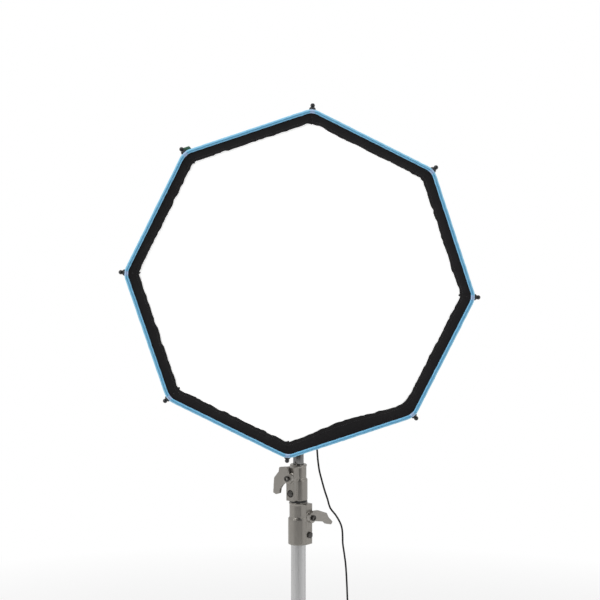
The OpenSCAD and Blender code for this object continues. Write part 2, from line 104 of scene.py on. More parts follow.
class Wire:
    # one output socket; arithmetic on it adds Math nodes to its graph
    def __init__(self, graph, socket):
        self.graph = graph
        self.socket = socket

    def __add__(self, other):
        return self.graph.math("ADD", self, other)

    def __sub__(self, other):
        return self.graph.math("SUBTRACT", self, other)

    def __rsub__(self, other):
        return self.graph.math("SUBTRACT", other, self)

    def __mul__(self, other):
        return self.graph.math("MULTIPLY", self, other)

    def __truediv__(self, other):
        return self.graph.math("DIVIDE", self, other)

    def __rtruediv__(self, other):
        return self.graph.math("DIVIDE", other, self)

    __radd__ = __add__
    __rmul__ = __mul__

    def out(self, name):
        return Wire(self.graph, self.socket.node.outputs[name])


class Graph:
    def __init__(self, tree):
        self.tree = tree

    def node(self, kind, settings=None, sockets=None, out=0):
        made = self.tree.nodes.new(kind)
        for key, value in (settings or {}).items():
            setattr(made, key, value)
        for key, value in (sockets or {}).items():
            if isinstance(value, Wire):
                self.tree.links.new(value.socket, made.inputs[key])
            else:
                made.inputs[key].default_value = value
        return Wire(self, made.outputs[out]) if len(made.outputs) else made

    def math(self, operation, a, b=0.0):
        return self.node("ShaderNodeMath", {"operation": operation}, {0: a, 1: b})


shaderSockets = {
    "colour": "Base Color",
    "metallic": "Metallic",
    "rough": "Roughness",
    "normal": "Normal",
    "specular": "Specular IOR Level",
    "sheen": "Sheen Weight",
    "sheenRough": "Sheen Roughness",
    "coat": "Coat Weight",
    "clear": "Transmission Weight",
    "ior": "IOR",
    "glow": "Emission Color",
    "glowStrength": "Emission Strength",
}


class Finish(Graph):
    # a material in the making, with the patterns that these finishes share
    def __init__(self, name):
        self.material = bpy.data.materials.new(name)
        self.material.use_nodes = True
        super().__init__(self.material.node_tree)
        self.tree.nodes.clear()
        self.place = self.node("ShaderNodeTexCoord").out("Object")

    def uv(self):
        return self.node("ShaderNodeTexCoord").out("UV")

    def stretched(self, place, x, y, z):
        return self.node("ShaderNodeVectorMath", {"operation": "MULTIPLY"}, {0: place, 1: (x, y, z)})

    def noise(self, scale, detail=3.0, place=None, rough=0.5):
        return self.node("ShaderNodeTexNoise", None, {
            "Vector": place or self.place, "Scale": scale, "Detail": detail, "Roughness": rough})

    def cells(self, scale):
        made = self.node("ShaderNodeTexVoronoi", None, {"Vector": self.place, "Scale": scale})
        return made.out("Distance")

    def stripes(self, scale, place, direction="X"):
        return self.node("ShaderNodeTexWave", {"bands_direction": direction},
                         {"Vector": place, "Scale": scale}, out=1)

    def between(self, value, low, high, start=0.0, end=1.0):
        return self.node("ShaderNodeMapRange", None, {
            0: value, 1: low, 2: high, 3: start, 4: end})

    def mix(self, share, a, b, kind="MIX"):
        return self.node("ShaderNodeMix", {"data_type": "RGBA", "blend_type": kind},
                         {0: share, 6: a, 7: b}, out=2)

    def bump(self, height, strength, distance):
        return self.node("ShaderNodeBump", None,
                         {"Strength": strength, "Distance": distance, "Height": height})

    def attribute(self, name):
        return self.node("ShaderNodeAttribute", {"attribute_name": name}).out("Fac")

    def done(self, **sockets):
        named = {shaderSockets[key]: value for key, value in sockets.items()}
        shader = self.node("ShaderNodeBsdfPrincipled", None, named)
        self.node("ShaderNodeOutputMaterial", None, {"Surface": shader})
        return self.material


def grey(value):
    return (value, value, value, 1)


def times(base, factor):
    return tuple(min(1, c * factor) for c in base) + (1,)


def coatedNylon():
    f = Finish("coatedNylon")
    uv = f.uv()
    split = f.node("ShaderNodeSeparateXYZ", None, {0: uv})
    gridU = f.math("PINGPONG", split.out("X"), 0.0025) / 0.0025
    gridV = f.math("PINGPONG", split.out("Y"), 0.0025) / 0.0025
    ribs = f.math("MAXIMUM", f.between(gridU, 0.86, 1.0), f.between(gridV, 0.86, 1.0))
    weave = f.stripes(700, uv, "X") * 0.5 + f.stripes(700, uv, "Y") * 0.5
    patches = f.noise(9, 4)
    dust = f.between(f.noise(60, 5), 0.45, 0.75)
    colour = f.mix(patches, (0.013, 0.0135, 0.0145, 1), (0.021, 0.0215, 0.0225, 1))
    colour = f.mix(ribs * 0.5, colour, (0.032, 0.033, 0.035, 1))
    colour = f.mix(dust * 0.12, colour, (0.06, 0.06, 0.062, 1))
    height = ribs * 0.7 + weave * 0.25 + patches * 0.3
    return f.done(colour=colour, rough=f.between(patches, 0.3, 0.7, 0.5, 0.66),
                  normal=f.bump(height, 0.35, 0.0003), sheen=0.25, sheenRough=0.4,
                  specular=0.35)


def loopCloth():
    f = Finish("loopCloth")
    loops = f.cells(900)
    pile = f.noise(420, 4)
    broad = f.noise(14, 3)
    colour = f.mix(loops * pile * 1.6, (0.0052, 0.0048, 0.0053, 1),
                   (0.0130, 0.0120, 0.0132, 1))
    colour = f.mix(broad * 0.4, colour, (0.0090, 0.0084, 0.0092, 1))
    height = loops * -0.8 + pile * 0.6
    return f.done(colour=colour, rough=f.between(pile, 0.3, 0.7, 0.82, 0.96),
                  normal=f.bump(height, 0.6, 0.0006), sheen=0.03, sheenRough=0.6,
                  specular=0.12)


# distances in metres across the folded tape, from its outer edge at the back: where the painted highlight
# along its outer edge fades out, and where the painted shade of its groove lies
tape = {
    "highlightFadeStart": 0.0122,
    "highlightFadeEnd": 0.0142,
    "groove": 0.0157,
    "grooveWide": 0.0012,
}


def twillTape():
    f = Finish("twillTape")
    split = f.node("ShaderNodeSeparateXYZ", None, {0: f.uv()})
    slant = split.out("X") + split.out("Y") * 1.15
    rib = f.math("PINGPONG", slant, 0.00185) / 0.00185
    thread = f.math("PINGPONG", split.out("X") - split.out("Y") * 0.6, 0.0004) / 0.0004
    patches = f.noise(22, 4)
    worn = f.between(f.noise(90, 4), 0.5, 0.8)
    blue = f.mix(patches, (0.140, 0.520, 0.800, 1), (0.240, 0.640, 0.880, 1))
    shaded = f.mix(1.0, blue, (0.50, 0.62, 0.74, 1), "MULTIPLY")
    blue = f.mix(f.between(rib, 0.25, 0.95), shaded, blue)
    blue = f.mix(thread * 0.16, blue, (0.36, 0.62, 0.82, 1))
    fold = split.out("Y")
    # painted highlight: the tape lighter along its outer edge, where its round fold catches the light
    outer = f.between(fold, tape["highlightFadeStart"], tape["highlightFadeEnd"], 1.0, 0.0)
    # painted shade: the tape darker along the groove in its middle; the groove's dip in the bump is real
    groove = f.between(f.math("ABSOLUTE", fold - tape["groove"]), 0.0002, tape["grooveWide"], 1.0, 0.0)
    blue = f.mix(outer * 0.45, blue, (0.34, 0.74, 0.93, 1))
    blue = f.mix(groove * 0.75, blue, (0.070, 0.290, 0.500, 1))
    blue = f.mix(worn * 0.25, blue, (0.42, 0.64, 0.80, 1))
    tackThread = f.mix(rib, (0.36, 0.42, 0.66, 1), (0.56, 0.60, 0.82, 1))
    blue = f.mix(f.attribute("barTack") * 0.6, blue, tackThread)
    height = f.between(rib, 0.1, 0.9) * 0.8 + thread * 0.35 - groove * 0.8
    return f.done(colour=blue, rough=f.between(patches, 0.3, 0.7, 0.66, 0.84),
                  normal=f.bump(height, 0.5, 0.0005), sheen=0.2, sheenRough=0.5)


def diffusionCloth():
    # painted light: the white cloth glows by itself, standing in for the lamp's light shining through it
    f = Finish("diffusionCloth")
    weave = f.stripes(900, f.place, "X") * 0.5 + f.stripes(900, f.place, "Z") * 0.5
    patches = f.noise(6, 4)
    colour = f.mix(patches, (0.90, 0.90, 0.895, 1), (0.95, 0.95, 0.945, 1))
    colour = f.mix(weave * 0.08, colour, (0.80, 0.80, 0.80, 1))
    return f.done(colour=colour, rough=f.between(patches, 0.3, 0.7, 0.78, 0.9),
                  normal=f.bump(weave * 0.4 + patches, 0.12, 0.0004), glow=colour,
                  glowStrength=0.55, sheen=0.1)


def silverCloth():
    f = Finish("silverCloth")
    pebbles = f.cells(260)
    crease = f.noise(40, 6)
    colour = f.mix(pebbles, (0.58, 0.59, 0.60, 1), (0.84, 0.85, 0.86, 1))
    height = pebbles * 1.2 + crease * 0.8
    return f.done(colour=colour, metallic=0.85, rough=f.between(crease, 0.3, 0.7, 0.26, 0.42),
                  normal=f.bump(height, 0.7, 0.0012))


def webbing(name, dark, light):
    f = Finish(name)
    rows = f.stripes(420, f.place, "DIAGONAL")
    fuzz = f.noise(260, 5)
    colour = f.mix(rows * 0.6 + fuzz * 0.4, dark, light)
    return f.done(colour=colour, rough=f.between(fuzz, 0.3, 0.7, 0.72, 0.92),
                  normal=f.bump(rows * 0.7 + fuzz * 0.5, 0.55, 0.0004), sheen=0.3)


def castMetal(name, base):
    # warm grey die casting, tumbled and lightly handled
    f = Finish(name)
    broad = f.noise(22, 3)
    grain = f.noise(1400, 2)
    # pits: small real hollows in the bump, darkened in colour as painted shade
    pitsAndShade = f.between(f.cells(420), 0.0, 0.18, 1.0, 0.0)
    worn = f.between(f.noise(75, 6, rough=0.65), 0.56, 0.72)
    colour = f.mix(broad, times(base, 0.86), times(base, 1.10))
    colour = f.mix(worn * 0.12, colour, times(base, 1.5))
    colour = f.mix(pitsAndShade * 0.14, colour, (0.08, 0.076, 0.07, 1))
    rough = f.between(broad, 0.3, 0.7, 0.25, 0.33) - worn * 0.04 + grain * 0.03
    height = broad * 0.5 + grain * 0.12 - pitsAndShade * 0.12
    return f.done(colour=colour, metallic=0.86, rough=rough, normal=f.bump(height, 0.10, 0.0005))


def drawnTube(name, dark, light, low, high):
    # satin tube with fine lines along its length
    f = Finish(name)
    lines = f.noise(1.0, 4, f.stretched(f.place, 620, 620, 4), 0.6)
    broad = f.noise(1.0, 3, f.stretched(f.place, 60, 60, 3))
    marks = f.between(f.noise(1.0, 5, f.stretched(f.place, 90, 90, 240)), 0.66, 0.74)
    colour = f.mix(f.between(lines, 0.3, 0.7), dark, light)
    colour = f.mix(marks * 0.25, colour, grey(0.12))
    rough = f.between(lines, 0.3, 0.7, low, high) + broad * 0.05 + marks * 0.12
    return f.done(colour=colour, metallic=1.0, rough=rough,
                  normal=f.bump(lines + broad * 0.3, 0.10, 0.0002))


def steel(name, base, low, high, metal=1.0):
    f = Finish(name)
    swirl = f.noise(160, 5)
    fine = f.noise(1100, 2)
    colour = f.mix(swirl, times(base, 0.75), times(base, 1.2))
    return f.done(colour=colour, metallic=metal, rough=f.between(swirl, 0.3, 0.7, low, high),
                  normal=f.bump(swirl * 0.4 + fine * 0.3, 0.14, 0.0003))


def turnedMetal(name, dark, light):
    # lathe lines run round the optical axis
    f = Finish(name)
    split = f.node("ShaderNodeSeparateXYZ", None, {0: f.place})
    up = split.out("Z") - axisHeight
    radius = f.math("SQRT", split.out("X") * split.out("X") + up * up)
    place = f.node("ShaderNodeCombineXYZ", None, {0: radius * 2600, 1: split.out("Y") * 2600})
    lines = f.noise(1.0, 3, place)
    broad = f.noise(30, 3)
    colour = f.mix(lines, dark, light)
    return f.done(colour=colour, metallic=1.0, rough=f.between(broad, 0.3, 0.7, 0.24, 0.38),
                  normal=f.bump(lines, 0.16, 0.0002))


def powderCoat(name, base, light):
    f = Finish(name)
    orange = f.cells(520)
    fine = f.noise(700, 3)
    broad = f.noise(12, 4)
    colour = f.mix(broad * 0.7 + fine * 0.3, base, light)
    height = orange * 0.9 + fine * 0.5
    return f.done(colour=colour, rough=f.between(fine, 0.3, 0.7, 0.46, 0.62),
                  normal=f.bump(height, 0.4, 0.0004), specular=0.5)


def moulded(name, base, light, low, high, grainSize=800, depth=0.25):
    f = Finish(name)
    grain = f.cells(grainSize)
    broad = f.noise(35, 4)
    dust = f.between(f.noise(180, 5), 0.55, 0.8)
    colour = f.mix(broad, base, light)
    colour = f.mix(dust * 0.15, colour, grey(0.08))
    return f.done(colour=colour, rough=f.between(broad, 0.3, 0.7, low, high) + dust * 0.08,
                  normal=f.bump(grain + broad * 0.3, depth, 0.0003))


def cordJacket():
    f = Finish("cordJacket")
    along = f.noise(1.0, 3, f.stretched(f.uv(), 40, 260, 1))
    scuff = f.between(f.noise(240, 5), 0.55, 0.75)
    colour = f.mix(along, (0.004, 0.004, 0.0042, 1), (0.008, 0.008, 0.0085, 1))
    colour = f.mix(scuff * 0.3, colour, grey(0.045))
    return f.done(colour=colour, rough=f.between(along, 0.3, 0.7, 0.42, 0.58) + scuff * 0.1,
                  normal=f.bump(along, 0.12, 0.0002), specular=0.25)


def darkWindow():
    f = Finish("darkWindow")
    smear = f.noise(70, 5)
    return f.done(colour=f.mix(smear, (0.004, 0.006, 0.007, 1), (0.010, 0.014, 0.016, 1)),
                  rough=f.between(smear, 0.35, 0.7, 0.06, 0.16), coat=0.6)


def lensGlass():
    f = Finish("lensGlass")
    smear = f.noise(50, 4)
    return f.done(colour=f.mix(smear, (0.93, 0.96, 0.97, 1), (0.97, 0.98, 0.98, 1)),
                  rough=f.between(smear, 0.3, 0.7, 0.02, 0.07), clear=0.9, ior=1.49)


def phosphor():
    f = Finish("phosphor")
    dots = f.cells(1400)
    colour = f.mix(f.between(dots, 0.2, 0.6), (0.88, 0.72, 0.16, 1), (0.80, 0.58, 0.08, 1))
    return f.done(colour=colour, rough=f.between(f.noise(300), 0.3, 0.7, 0.5, 0.7),
                  normal=f.bump(dots, 0.3, 0.0002))


finishes = {
    "skin": coatedNylon(),
    "loop": loopCloth(),
    "blue": twillTape(),
    "diffusion": diffusionCloth(),
    "silver": silverCloth(),
    "webbing": webbing("blackWebbing", (0.010, 0.010, 0.011, 1), (0.030, 0.030, 0.032, 1)),
    "tab": webbing("greenTab", (0.020, 0.075, 0.040, 1), (0.055, 0.150, 0.085, 1)),
    "thread": webbing("sewingThread", (0.010, 0.010, 0.011, 1), (0.022, 0.022, 0.024, 1)),
    # the thread's dark blue is partly its own colour and partly painted shade along the tape's groove
    "blueThread": webbing("blueThread", (0.035, 0.130, 0.260, 1), (0.070, 0.210, 0.370, 1)),
    "cast": castMetal("castMetal", (0.290, 0.274, 0.250)),
    "castLever": castMetal("castLever", (0.310, 0.294, 0.270)),
    "tube": drawnTube("satinTube", grey(0.44), grey(0.58), 0.22, 0.36),
    "chromeTube": drawnTube("chromeTube", grey(0.44), grey(0.60), 0.10, 0.18),
    # pin: chrome with dark colours, painted shade standing in for the dark reflection down its front
    "pin": drawnTube("polishedPin", grey(0.14), grey(0.24), 0.08, 0.16),
    "strut": drawnTube("zincStrut", (0.34, 0.34, 0.36, 1), (0.50, 0.50, 0.52, 1), 0.28, 0.42),
    "bolt": steel("boltSteel", (0.085, 0.082, 0.078), 0.20, 0.34),
    "bright": steel("brightSteel", (0.62, 0.62, 0.63), 0.14, 0.28),
    "darkSteel": steel("darkSteel", (0.24, 0.24, 0.25), 0.24, 0.40),
    "anodised": steel("blackAnodised", (0.030, 0.030, 0.032), 0.30, 0.44, 0.6),
    "turned": turnedMetal("turnedMetal", grey(0.42), grey(0.66)),
    "coat": powderCoat("charcoalCoat", (0.020, 0.0205, 0.022, 1), (0.034, 0.035, 0.037, 1)),
    "leverCoat": powderCoat("greyCoat", (0.13, 0.13, 0.135, 1), (0.19, 0.19, 0.195, 1)),
    "fin": steel("finAluminium", (0.070, 0.072, 0.078), 0.34, 0.50, 0.8),
    "nylon": moulded("blackNylon", (0.011, 0.011, 0.012, 1), (0.022, 0.022, 0.023, 1), 0.40, 0.56),
    "tip": moulded("mouldedTip", (0.008, 0.008, 0.009, 1), (0.016, 0.016, 0.017, 1), 0.22, 0.36, 1400, 0.12),
    "rubber": moulded("blackRubber", grey(0.010), grey(0.020), 0.66, 0.84, 600, 0.4),
    "red": moulded("redRocker", (0.30, 0.015, 0.012, 1), (0.42, 0.025, 0.020, 1), 0.24, 0.36, 1200, 0.1),
    "mark": moulded("whiteMark", (0.62, 0.62, 0.61, 1), (0.74, 0.74, 0.73, 1), 0.4, 0.5),
    "cord": cordJacket(),
    "window": darkWindow(),
    "glass": lensGlass(),
    "phosphor": phosphor(),
    "rod": powderCoat("rodCoat", (0.012, 0.012, 0.013, 1), (0.024, 0.024, 0.025, 1)),
}
print("finishes:", len(finishes))


def pieceFrom(bm, name, finish, body=None, replaces=(), sharp=32, merge=True):
    # turns a bmesh into a piece at the origin, with its normals outwards
    if merge:
        bmesh.ops.remove_doubles(bm, verts=bm.verts, dist=1e-6)
        bmesh.ops.recalc_face_normals(bm, faces=bm.faces)
    mesh = bpy.data.meshes.new(name)
    bm.to_mesh(mesh)
    bm.free()
    mesh.shade_smooth()
    if sharp:
        mesh.set_sharp_from_angle(angle=math.radians(sharp))
    piece = bpy.data.objects.new(name, mesh)
    scene.collection.objects.link(piece)
    mesh.materials.append(finishes[finish])
    if body:
        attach(piece, body)
    if replaces:
        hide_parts(*replaces)
    return piece


def inMm(points):
    return [(a * mm, b * mm) for a, b in points]


def addBox(bm, low, high, turn):
    size = Vector(high) - Vector(low)
    centre = (Vector(high) + Vector(low)) / 2
    matrix = turn @ Matrix.Translation(centre) @ Matrix.Diagonal((*size, 1))
    bmesh.ops.create_cube(bm, size=1, matrix=matrix)


def addStrip(bm, rows, closed):
    # faces between rows of vertices, right round when closed
    for low, high in zip(rows, rows[1:]):
        for j in range(len(low) if closed else len(low) - 1):
            k = (j + 1) % len(low)
            bm.faces.new((low[j], low[k], high[k], high[j]))


def axisMatrix(origin, direction, sideways):
    # local Z along direction; local X close to sideways
    z = Vector(direction).normalized()
    x = Vector(sideways)
    x = (x - z * x.dot(z)).normalized()
    y = z.cross(x)
    return Matrix.Translation(Vector(origin)) @ Matrix((x, y, z)).transposed().to_4x4()


def addTurned(bm, profile, matrix, steps):
    # profile points are (radius, height); a radius of 0 closes an end
    rings = []
    for radius, height in profile:
        if radius <= 1e-7:
            rings.append([bm.verts.new(matrix @ Vector((0, 0, height)))])
        else:
            turns = [2 * math.pi * i / steps for i in range(steps)]
            rings.append([bm.verts.new(matrix @ Vector((radius * math.cos(t), radius * math.sin(t), height)))
                          for t in turns])
    for low, high in zip(rings, rings[1:]):
        for i in range(steps):
            j = (i + 1) % steps
            corners = [low[i % len(low)], low[j % len(low)], high[j % len(high)], high[i % len(high)]]
            unique = list(dict.fromkeys(corners))
            if len(unique) > 2:
                bm.faces.new(unique)


def rounded(profile, radius):
    # the same outline with its inner corners rounded
    out = []
    steps = 3
    for i, point in enumerate(profile):
        if i in (0, len(profile) - 1):
            out.append(point)
            continue
        p, a, b = Vector(point), Vector(profile[i - 1]), Vector(profile[i + 1])
        reach = min(radius, (a - p).length * 0.45, (b - p).length * 0.45)
        start, end = p + (a - p).normalized() * reach, p + (b - p).normalized() * reach
        for s in range(steps + 1):
            t = s / steps
            out.append(tuple(start * (1 - t) ** 2 + p * 2 * t * (1 - t) + end * t * t))
    return out


def cadCopy(node):
    # a merged copy of a CAD node's mesh
    bm = bmesh.new()
    bm.from_mesh(frame["nodes"][node].data)
    bmesh.ops.remove_doubles(bm, verts=bm.verts, dist=2e-6)
    return bm


def evaluated(piece):
    # applies a piece's modifiers and keeps the result as its mesh
    graph = bpy.context.evaluated_depsgraph_get()
    graph.update()
    mesh = bpy.data.meshes.new_from_object(piece.evaluated_get(graph))
    piece.modifiers.clear()
    old = piece.data
    piece.data = mesh
    bpy.data.meshes.remove(old)


def thickened(piece, thickness, offset=-1, sharp=None):
    made = piece.modifiers.new("thick", "SOLIDIFY")
    made.thickness = thickness
    made.offset = offset
    evaluated(piece)
    piece.data.shade_smooth()
    if sharp:
        piece.data.set_sharp_from_angle(angle=math.radians(sharp))


def placed(piece, node, body):
    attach(piece, body)
    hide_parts(node)


def bevelled(name, node, finish, body, width, segments=2):
    # a CAD node's own shape with its edges broken
    bm = cadCopy(node)
    bmesh.ops.dissolve_limit(bm, angle_limit=math.radians(1), verts=bm.verts, edges=bm.edges)
    piece = pieceFrom(bm, name, finish)
    made = piece.modifiers.new("edges", "BEVEL")
    made.width = width
    made.segments = segments
    made.limit_method = "ANGLE"
    made.angle_limit = math.radians(32)
    made.harden_normals = False
    evaluated(piece)
    piece.data.shade_smooth()
    piece.data.set_sharp_from_angle(angle=math.radians(38))
    placed(piece, node, body)


def castPiece(name, node, finish, body, voxel, rounds=6, extra=None):
    # a casting: the CAD shape with what is added to it, its edges and inner corners softened
    bm = cadCopy(node)
    if extra:
        extra(bm)
    piece = pieceFrom(bm, name, finish, merge=False, sharp=None)
    skin = piece.modifiers.new("skin", "REMESH")
    skin.mode = "VOXEL"
    skin.voxel_size = voxel
    skin.use_smooth_shade = True
    soft = piece.modifiers.new("soft", "SMOOTH")
    soft.factor = 0.5
    soft.iterations = rounds
    evaluated(piece)
    if not piece.data.materials:
        piece.data.materials.append(finishes[finish])
    piece.data.shade_smooth()
    placed(piece, node, body)


class Shape(Graph):
    # a Geometry Nodes tree with named inputs, that ends in Realize Instances and Set Material
    def __init__(self, name, inputs):
        tree = bpy.data.node_groups.new(name, "GeometryNodeTree")
        super().__init__(tree)
        tree.interface.new_socket("Geometry", in_out="OUTPUT", socket_type="NodeSocketGeometry")
        self.ids = {}
        for label, (kind, start) in inputs.items():
            made = tree.interface.new_socket(label, in_out="INPUT", socket_type=kind)
            if start is not None:
                made.default_value = start
            self.ids[label] = made.identifier
        self.entry = self.node("NodeGroupInput")

    def input(self, label):
        return Wire(self, self.entry.socket.node.outputs[label])

    def end(self, geometry):
        real = self.node("GeometryNodeRealizeInstances", None, {0: geometry})
        painted = self.node("GeometryNodeSetMaterial", None, {0: real, "Material": self.input("Material")})
        self.node("NodeGroupOutput", None, {0: painted})


def shaped(name, shape, **values):
    # runs a tree once and returns the result as a plain mesh object
    holder = bpy.data.objects.new(name, bpy.data.meshes.new(name))
    scene.collection.objects.link(holder)
    modifier = holder.modifiers.new("shape", "NODES")
    modifier.node_group = shape.tree
    for label, value in values.items():
        modifier[shape.ids[label]] = value
    evaluated(holder)
    holder.data.shade_smooth()
    holder.data.set_sharp_from_angle(angle=math.radians(35))
    return holder


def tubeShape():
    # a tube swept along a curve object
    s = Shape("tubeAlongPath", {
        "Path": ("NodeSocketObject", None), "Radius": ("NodeSocketFloat", 0.0025),
        "Sides": ("NodeSocketInt", 14), "Material": ("NodeSocketMaterial", None)})
    path = s.node("GeometryNodeObjectInfo", None, {0: s.input("Path")}).out("Geometry")
    ring = s.node("GeometryNodeCurvePrimitiveCircle", {"mode": "RADIUS"},
                  {"Resolution": s.input("Sides"), "Radius": s.input("Radius")})
    s.end(s.node("GeometryNodeCurveToMesh", None, {0: path, 1: ring, "Fill Caps": True}))
    return s


stitchBead = {"segments": 5, "rings": 4}


def stitchShape():
    # thread stitches laid end to end along a curve object
    s = Shape("stitchesAlongPath", {
        "Path": ("NodeSocketObject", None), "Pitch": ("NodeSocketFloat", 0.0045),
        "Stitch": ("NodeSocketFloat", 0.0030), "Thread": ("NodeSocketFloat", 0.00038),
        "Material": ("NodeSocketMaterial", None)})
    path = s.node("GeometryNodeObjectInfo", None, {0: s.input("Path")}).out("Geometry")
    points = s.node("GeometryNodeCurveToPoints", {"mode": "LENGTH"}, {0: path, "Length": s.input("Pitch")})
    bead = s.node("GeometryNodeMeshUVSphere", None, {
        "Segments": stitchBead["segments"], "Rings": stitchBead["rings"], "Radius": s.input("Thread")})
    long = s.input("Stitch") / s.input("Thread") * 0.5
    length = s.node("ShaderNodeCombineXYZ", None, {0: 1.0, 1: 1.0, 2: long})
    turned = s.node("FunctionNodeAlignRotationToVector", {"axis": "Z"},
                    {"Vector": points.out("Tangent")})
    laid = s.node("GeometryNodeInstanceOnPoints", None,
                  {0: points, "Instance": bead, "Rotation": turned, "Scale": length})
    s.end(laid)
    return s


tubeAlong, stitchesAlong = tubeShape(), stitchShape()


def curveThrough(name, *lines):
    curve = bpy.data.curves.new(name, "CURVE")
    curve.dimensions = "3D"
    for line in lines:
        spline = curve.splines.new("POLY")
        spline.points.add(len(line) - 1)
        for target, point in zip(spline.points, line):
            target.co = (*point, 1)
    holder = bpy.data.objects.new(name, curve)
    scene.collection.objects.link(holder)
    return holder


def dropped(holder):
    data = holder.data
    bpy.data.objects.remove(holder)
    if isinstance(data, bpy.types.Curve):
        bpy.data.curves.remove(data)
    else:
        bpy.data.meshes.remove(data)


def smoothRoute(points, steps):
    # Catmull-Rom curve through given points
    out = []
    last = len(points) - 1
    for i in range(last):
        a, b = points[max(i - 1, 0)], points[i]
        c, d = points[i + 1], points[min(i + 2, last)]
        for step in range(steps):
            t = step / steps
            out.append(0.5 * (2 * b + (c - a) * t + (2 * a - 5 * b + 4 * c - d) * t ** 2
                              + (3 * b - a - 3 * c + d) * t ** 3))
    return out + [points[last]]


viewing = {
    "distance": 5.0,      # from the middle of the front
    "azimuth": -0.48,     # degrees to the left of straight on
    "elevation": 6.3,
    "lens": 123.7,
    "rise": -0.0241,      # vertical shift
    "aside": 0.0003,
}


def makeCamera():
    target = headPoint(0, 0, frontZ)
    a, e = math.radians(viewing["azimuth"]), math.radians(viewing["elevation"])
    back = Vector((math.sin(a) * math.cos(e), -math.cos(a) * math.cos(e), math.sin(e)))
    data = bpy.data.cameras.new("camera")
    data.lens = viewing["lens"]
    data.sensor_width = 36
    data.shift_y = viewing["rise"]
    data.shift_x = viewing["aside"]
    data.clip_end = 200
    camera = bpy.data.objects.new("camera", data)
    camera.location = target + back * viewing["distance"]
    camera.rotation_mode = "QUATERNION"
    camera.rotation_quaternion = (-back).to_track_quat("-Z", "Y")
    scene.collection.objects.link(camera)
    scene.camera = camera


studio = {
    "surround": 0.78,      # brightness that the white walls lend
    "behindCamera": 0.07,  # the dark end of the room
    # place and width in metres, power in watts
    "key": ((-2.6, -3.2, 3.4), 2.2, 84.0),
    "fill": ((3.2, -2.4, 1.9), 2.4, 30.0),
    "top": ((0.3, 0.6, 4.2), 2.6, 26.0),
    "aim": (0, 0, 1.1),
    "floorRadius": 3.0,
    "floorFade": (0.9, 2.6),   # where the floor goes over into the white ground
}


def makeStudio():
    world = bpy.data.worlds.new("studio")
    world.use_nodes = True
    world.node_tree.nodes.clear()
    g = Graph(world.node_tree)
    direction = g.node("ShaderNodeTexCoord").out("Generated")
    forward = g.node("ShaderNodeVectorMath", {"operation": "DOT_PRODUCT"},
                     {0: direction, 1: (0.0, -1.0, -0.05)}).out("Value")
    dark = g.node("ShaderNodeMapRange", {"interpolation_type": "SMOOTHSTEP"},
                  {0: forward, 1: 0.38, 2: 0.86, 3: studio["surround"], 4: studio["behindCamera"]})
    seen = g.node("ShaderNodeLightPath").out("Is Camera Ray")
    lit = g.node("ShaderNodeBackground", None, {0: grey(1.0), 1: dark})
    shown = g.node("ShaderNodeBackground", None, {0: grey(1.0), 1: 1.0})
    both = g.node("ShaderNodeMixShader", None, {0: seen, 1: lit, 2: shown})
    g.node("ShaderNodeOutputWorld", None, {0: both})
    scene.world = world
    scene.view_settings.view_transform = "Standard"
    for name in ("key", "fill", "top"):
        place, size, power = studio[name]
        data = bpy.data.lights.new(name, "AREA")
        data.size = size
        data.energy = power
        light = bpy.data.objects.new(name, data)
        light.location = place
        light.rotation_mode = "QUATERNION"
        light.rotation_quaternion = (Vector(studio["aim"]) - Vector(place)).to_track_quat("-Z", "Y")
        scene.collection.objects.link(light)


def makeFloor():
    bm = bmesh.new()
    bmesh.ops.create_circle(bm, cap_ends=True, segments=96, radius=studio["floorRadius"])
    floor = bpy.data.objects.new("floor", bpy.data.meshes.new("floor"))
    bm.to_mesh(floor.data)
    bm.free()
    scene.collection.objects.link(floor)
    f = Finish("paleFloor")
    split = f.node("ShaderNodeSeparateXYZ", None, {0: f.place})
    away = f.math("SQRT", split.out("X") * split.out("X") + split.out("Y") * split.out("Y"))
    plain = f.node("ShaderNodeBsdfDiffuse", None, {0: grey(0.86)})
    glow = f.node("ShaderNodeEmission", None, {0: grey(1.0), 1: 1.0})
    shown = f.node("ShaderNodeMixShader", None, {0: f.between(away, *studio["floorFade"]), 1: plain, 2: glow})
    f.node("ShaderNodeOutputMaterial", None, {"Surface": shown})
    floor.data.materials.append(f.material)


makeCamera()
makeStudio()
makeFloor()
print("camera, light and floor")


lead = {
    "diameter": 5 * mm,
    # millimetres, from the gland down to the coil on the floor
    "head": [
        (50, 150, 1204.8), (50, 150, 1180), (53, 154, 1140), (58, 156, 1090), (67, 154, 1040),
        (79, 147, 990), (92, 134, 945), (104, 115, 914), (111, 92, 902), (113, 68, 910),
        (108, 47, 932), (97, 35, 950), (84, 31, 958), (78, 30, 959),
    ],
    "inClip": [(70, 30, 959)],
    "upper": [
        (61.9, 30, 959), (56, 31, 956), (50, 33, 948), (47, 36, 932), (47, 40, 912), (49, 45, 890),
        (51, 51, 866), (53, 56, 840), (57, 62, 810), (63, 66, 785), (71, 70, 755), (79.7, 73.8, 728),
    ],
    "lower": [
        (80, 74, 727), (87, 77, 703), (101, 80, 684), (111, 84, 667), (118, 87, 650), (121, 90, 630),
        (122, 94, 600), (126, 98, 572), (131, 100, 530), (135, 101, 450), (137, 102, 360),
        (137, 103, 270), (137, 105, 180), (138, 108, 110), (140, 113, 55), (143, 120, 22),
        (148, 130, 6), (155, 142, 2.5), (164, 156, 2.5),
    ],
    "coilCentre": (202, 155),
    "coilStart": 172,     # degrees, clockwise from here
    "coilOnward": 152,    # degrees from the last turn to the connector
    # radius and height of the middle of each turn, in order
    "turns": [(32.5, 2.5), (27.5, 2.5), (22.5, 2.5), (22.5, 7.5), (27.5, 7.5), (32.5, 7.5), (30, 12.2)],
    "plugEntry": (238, 145, 8),
}


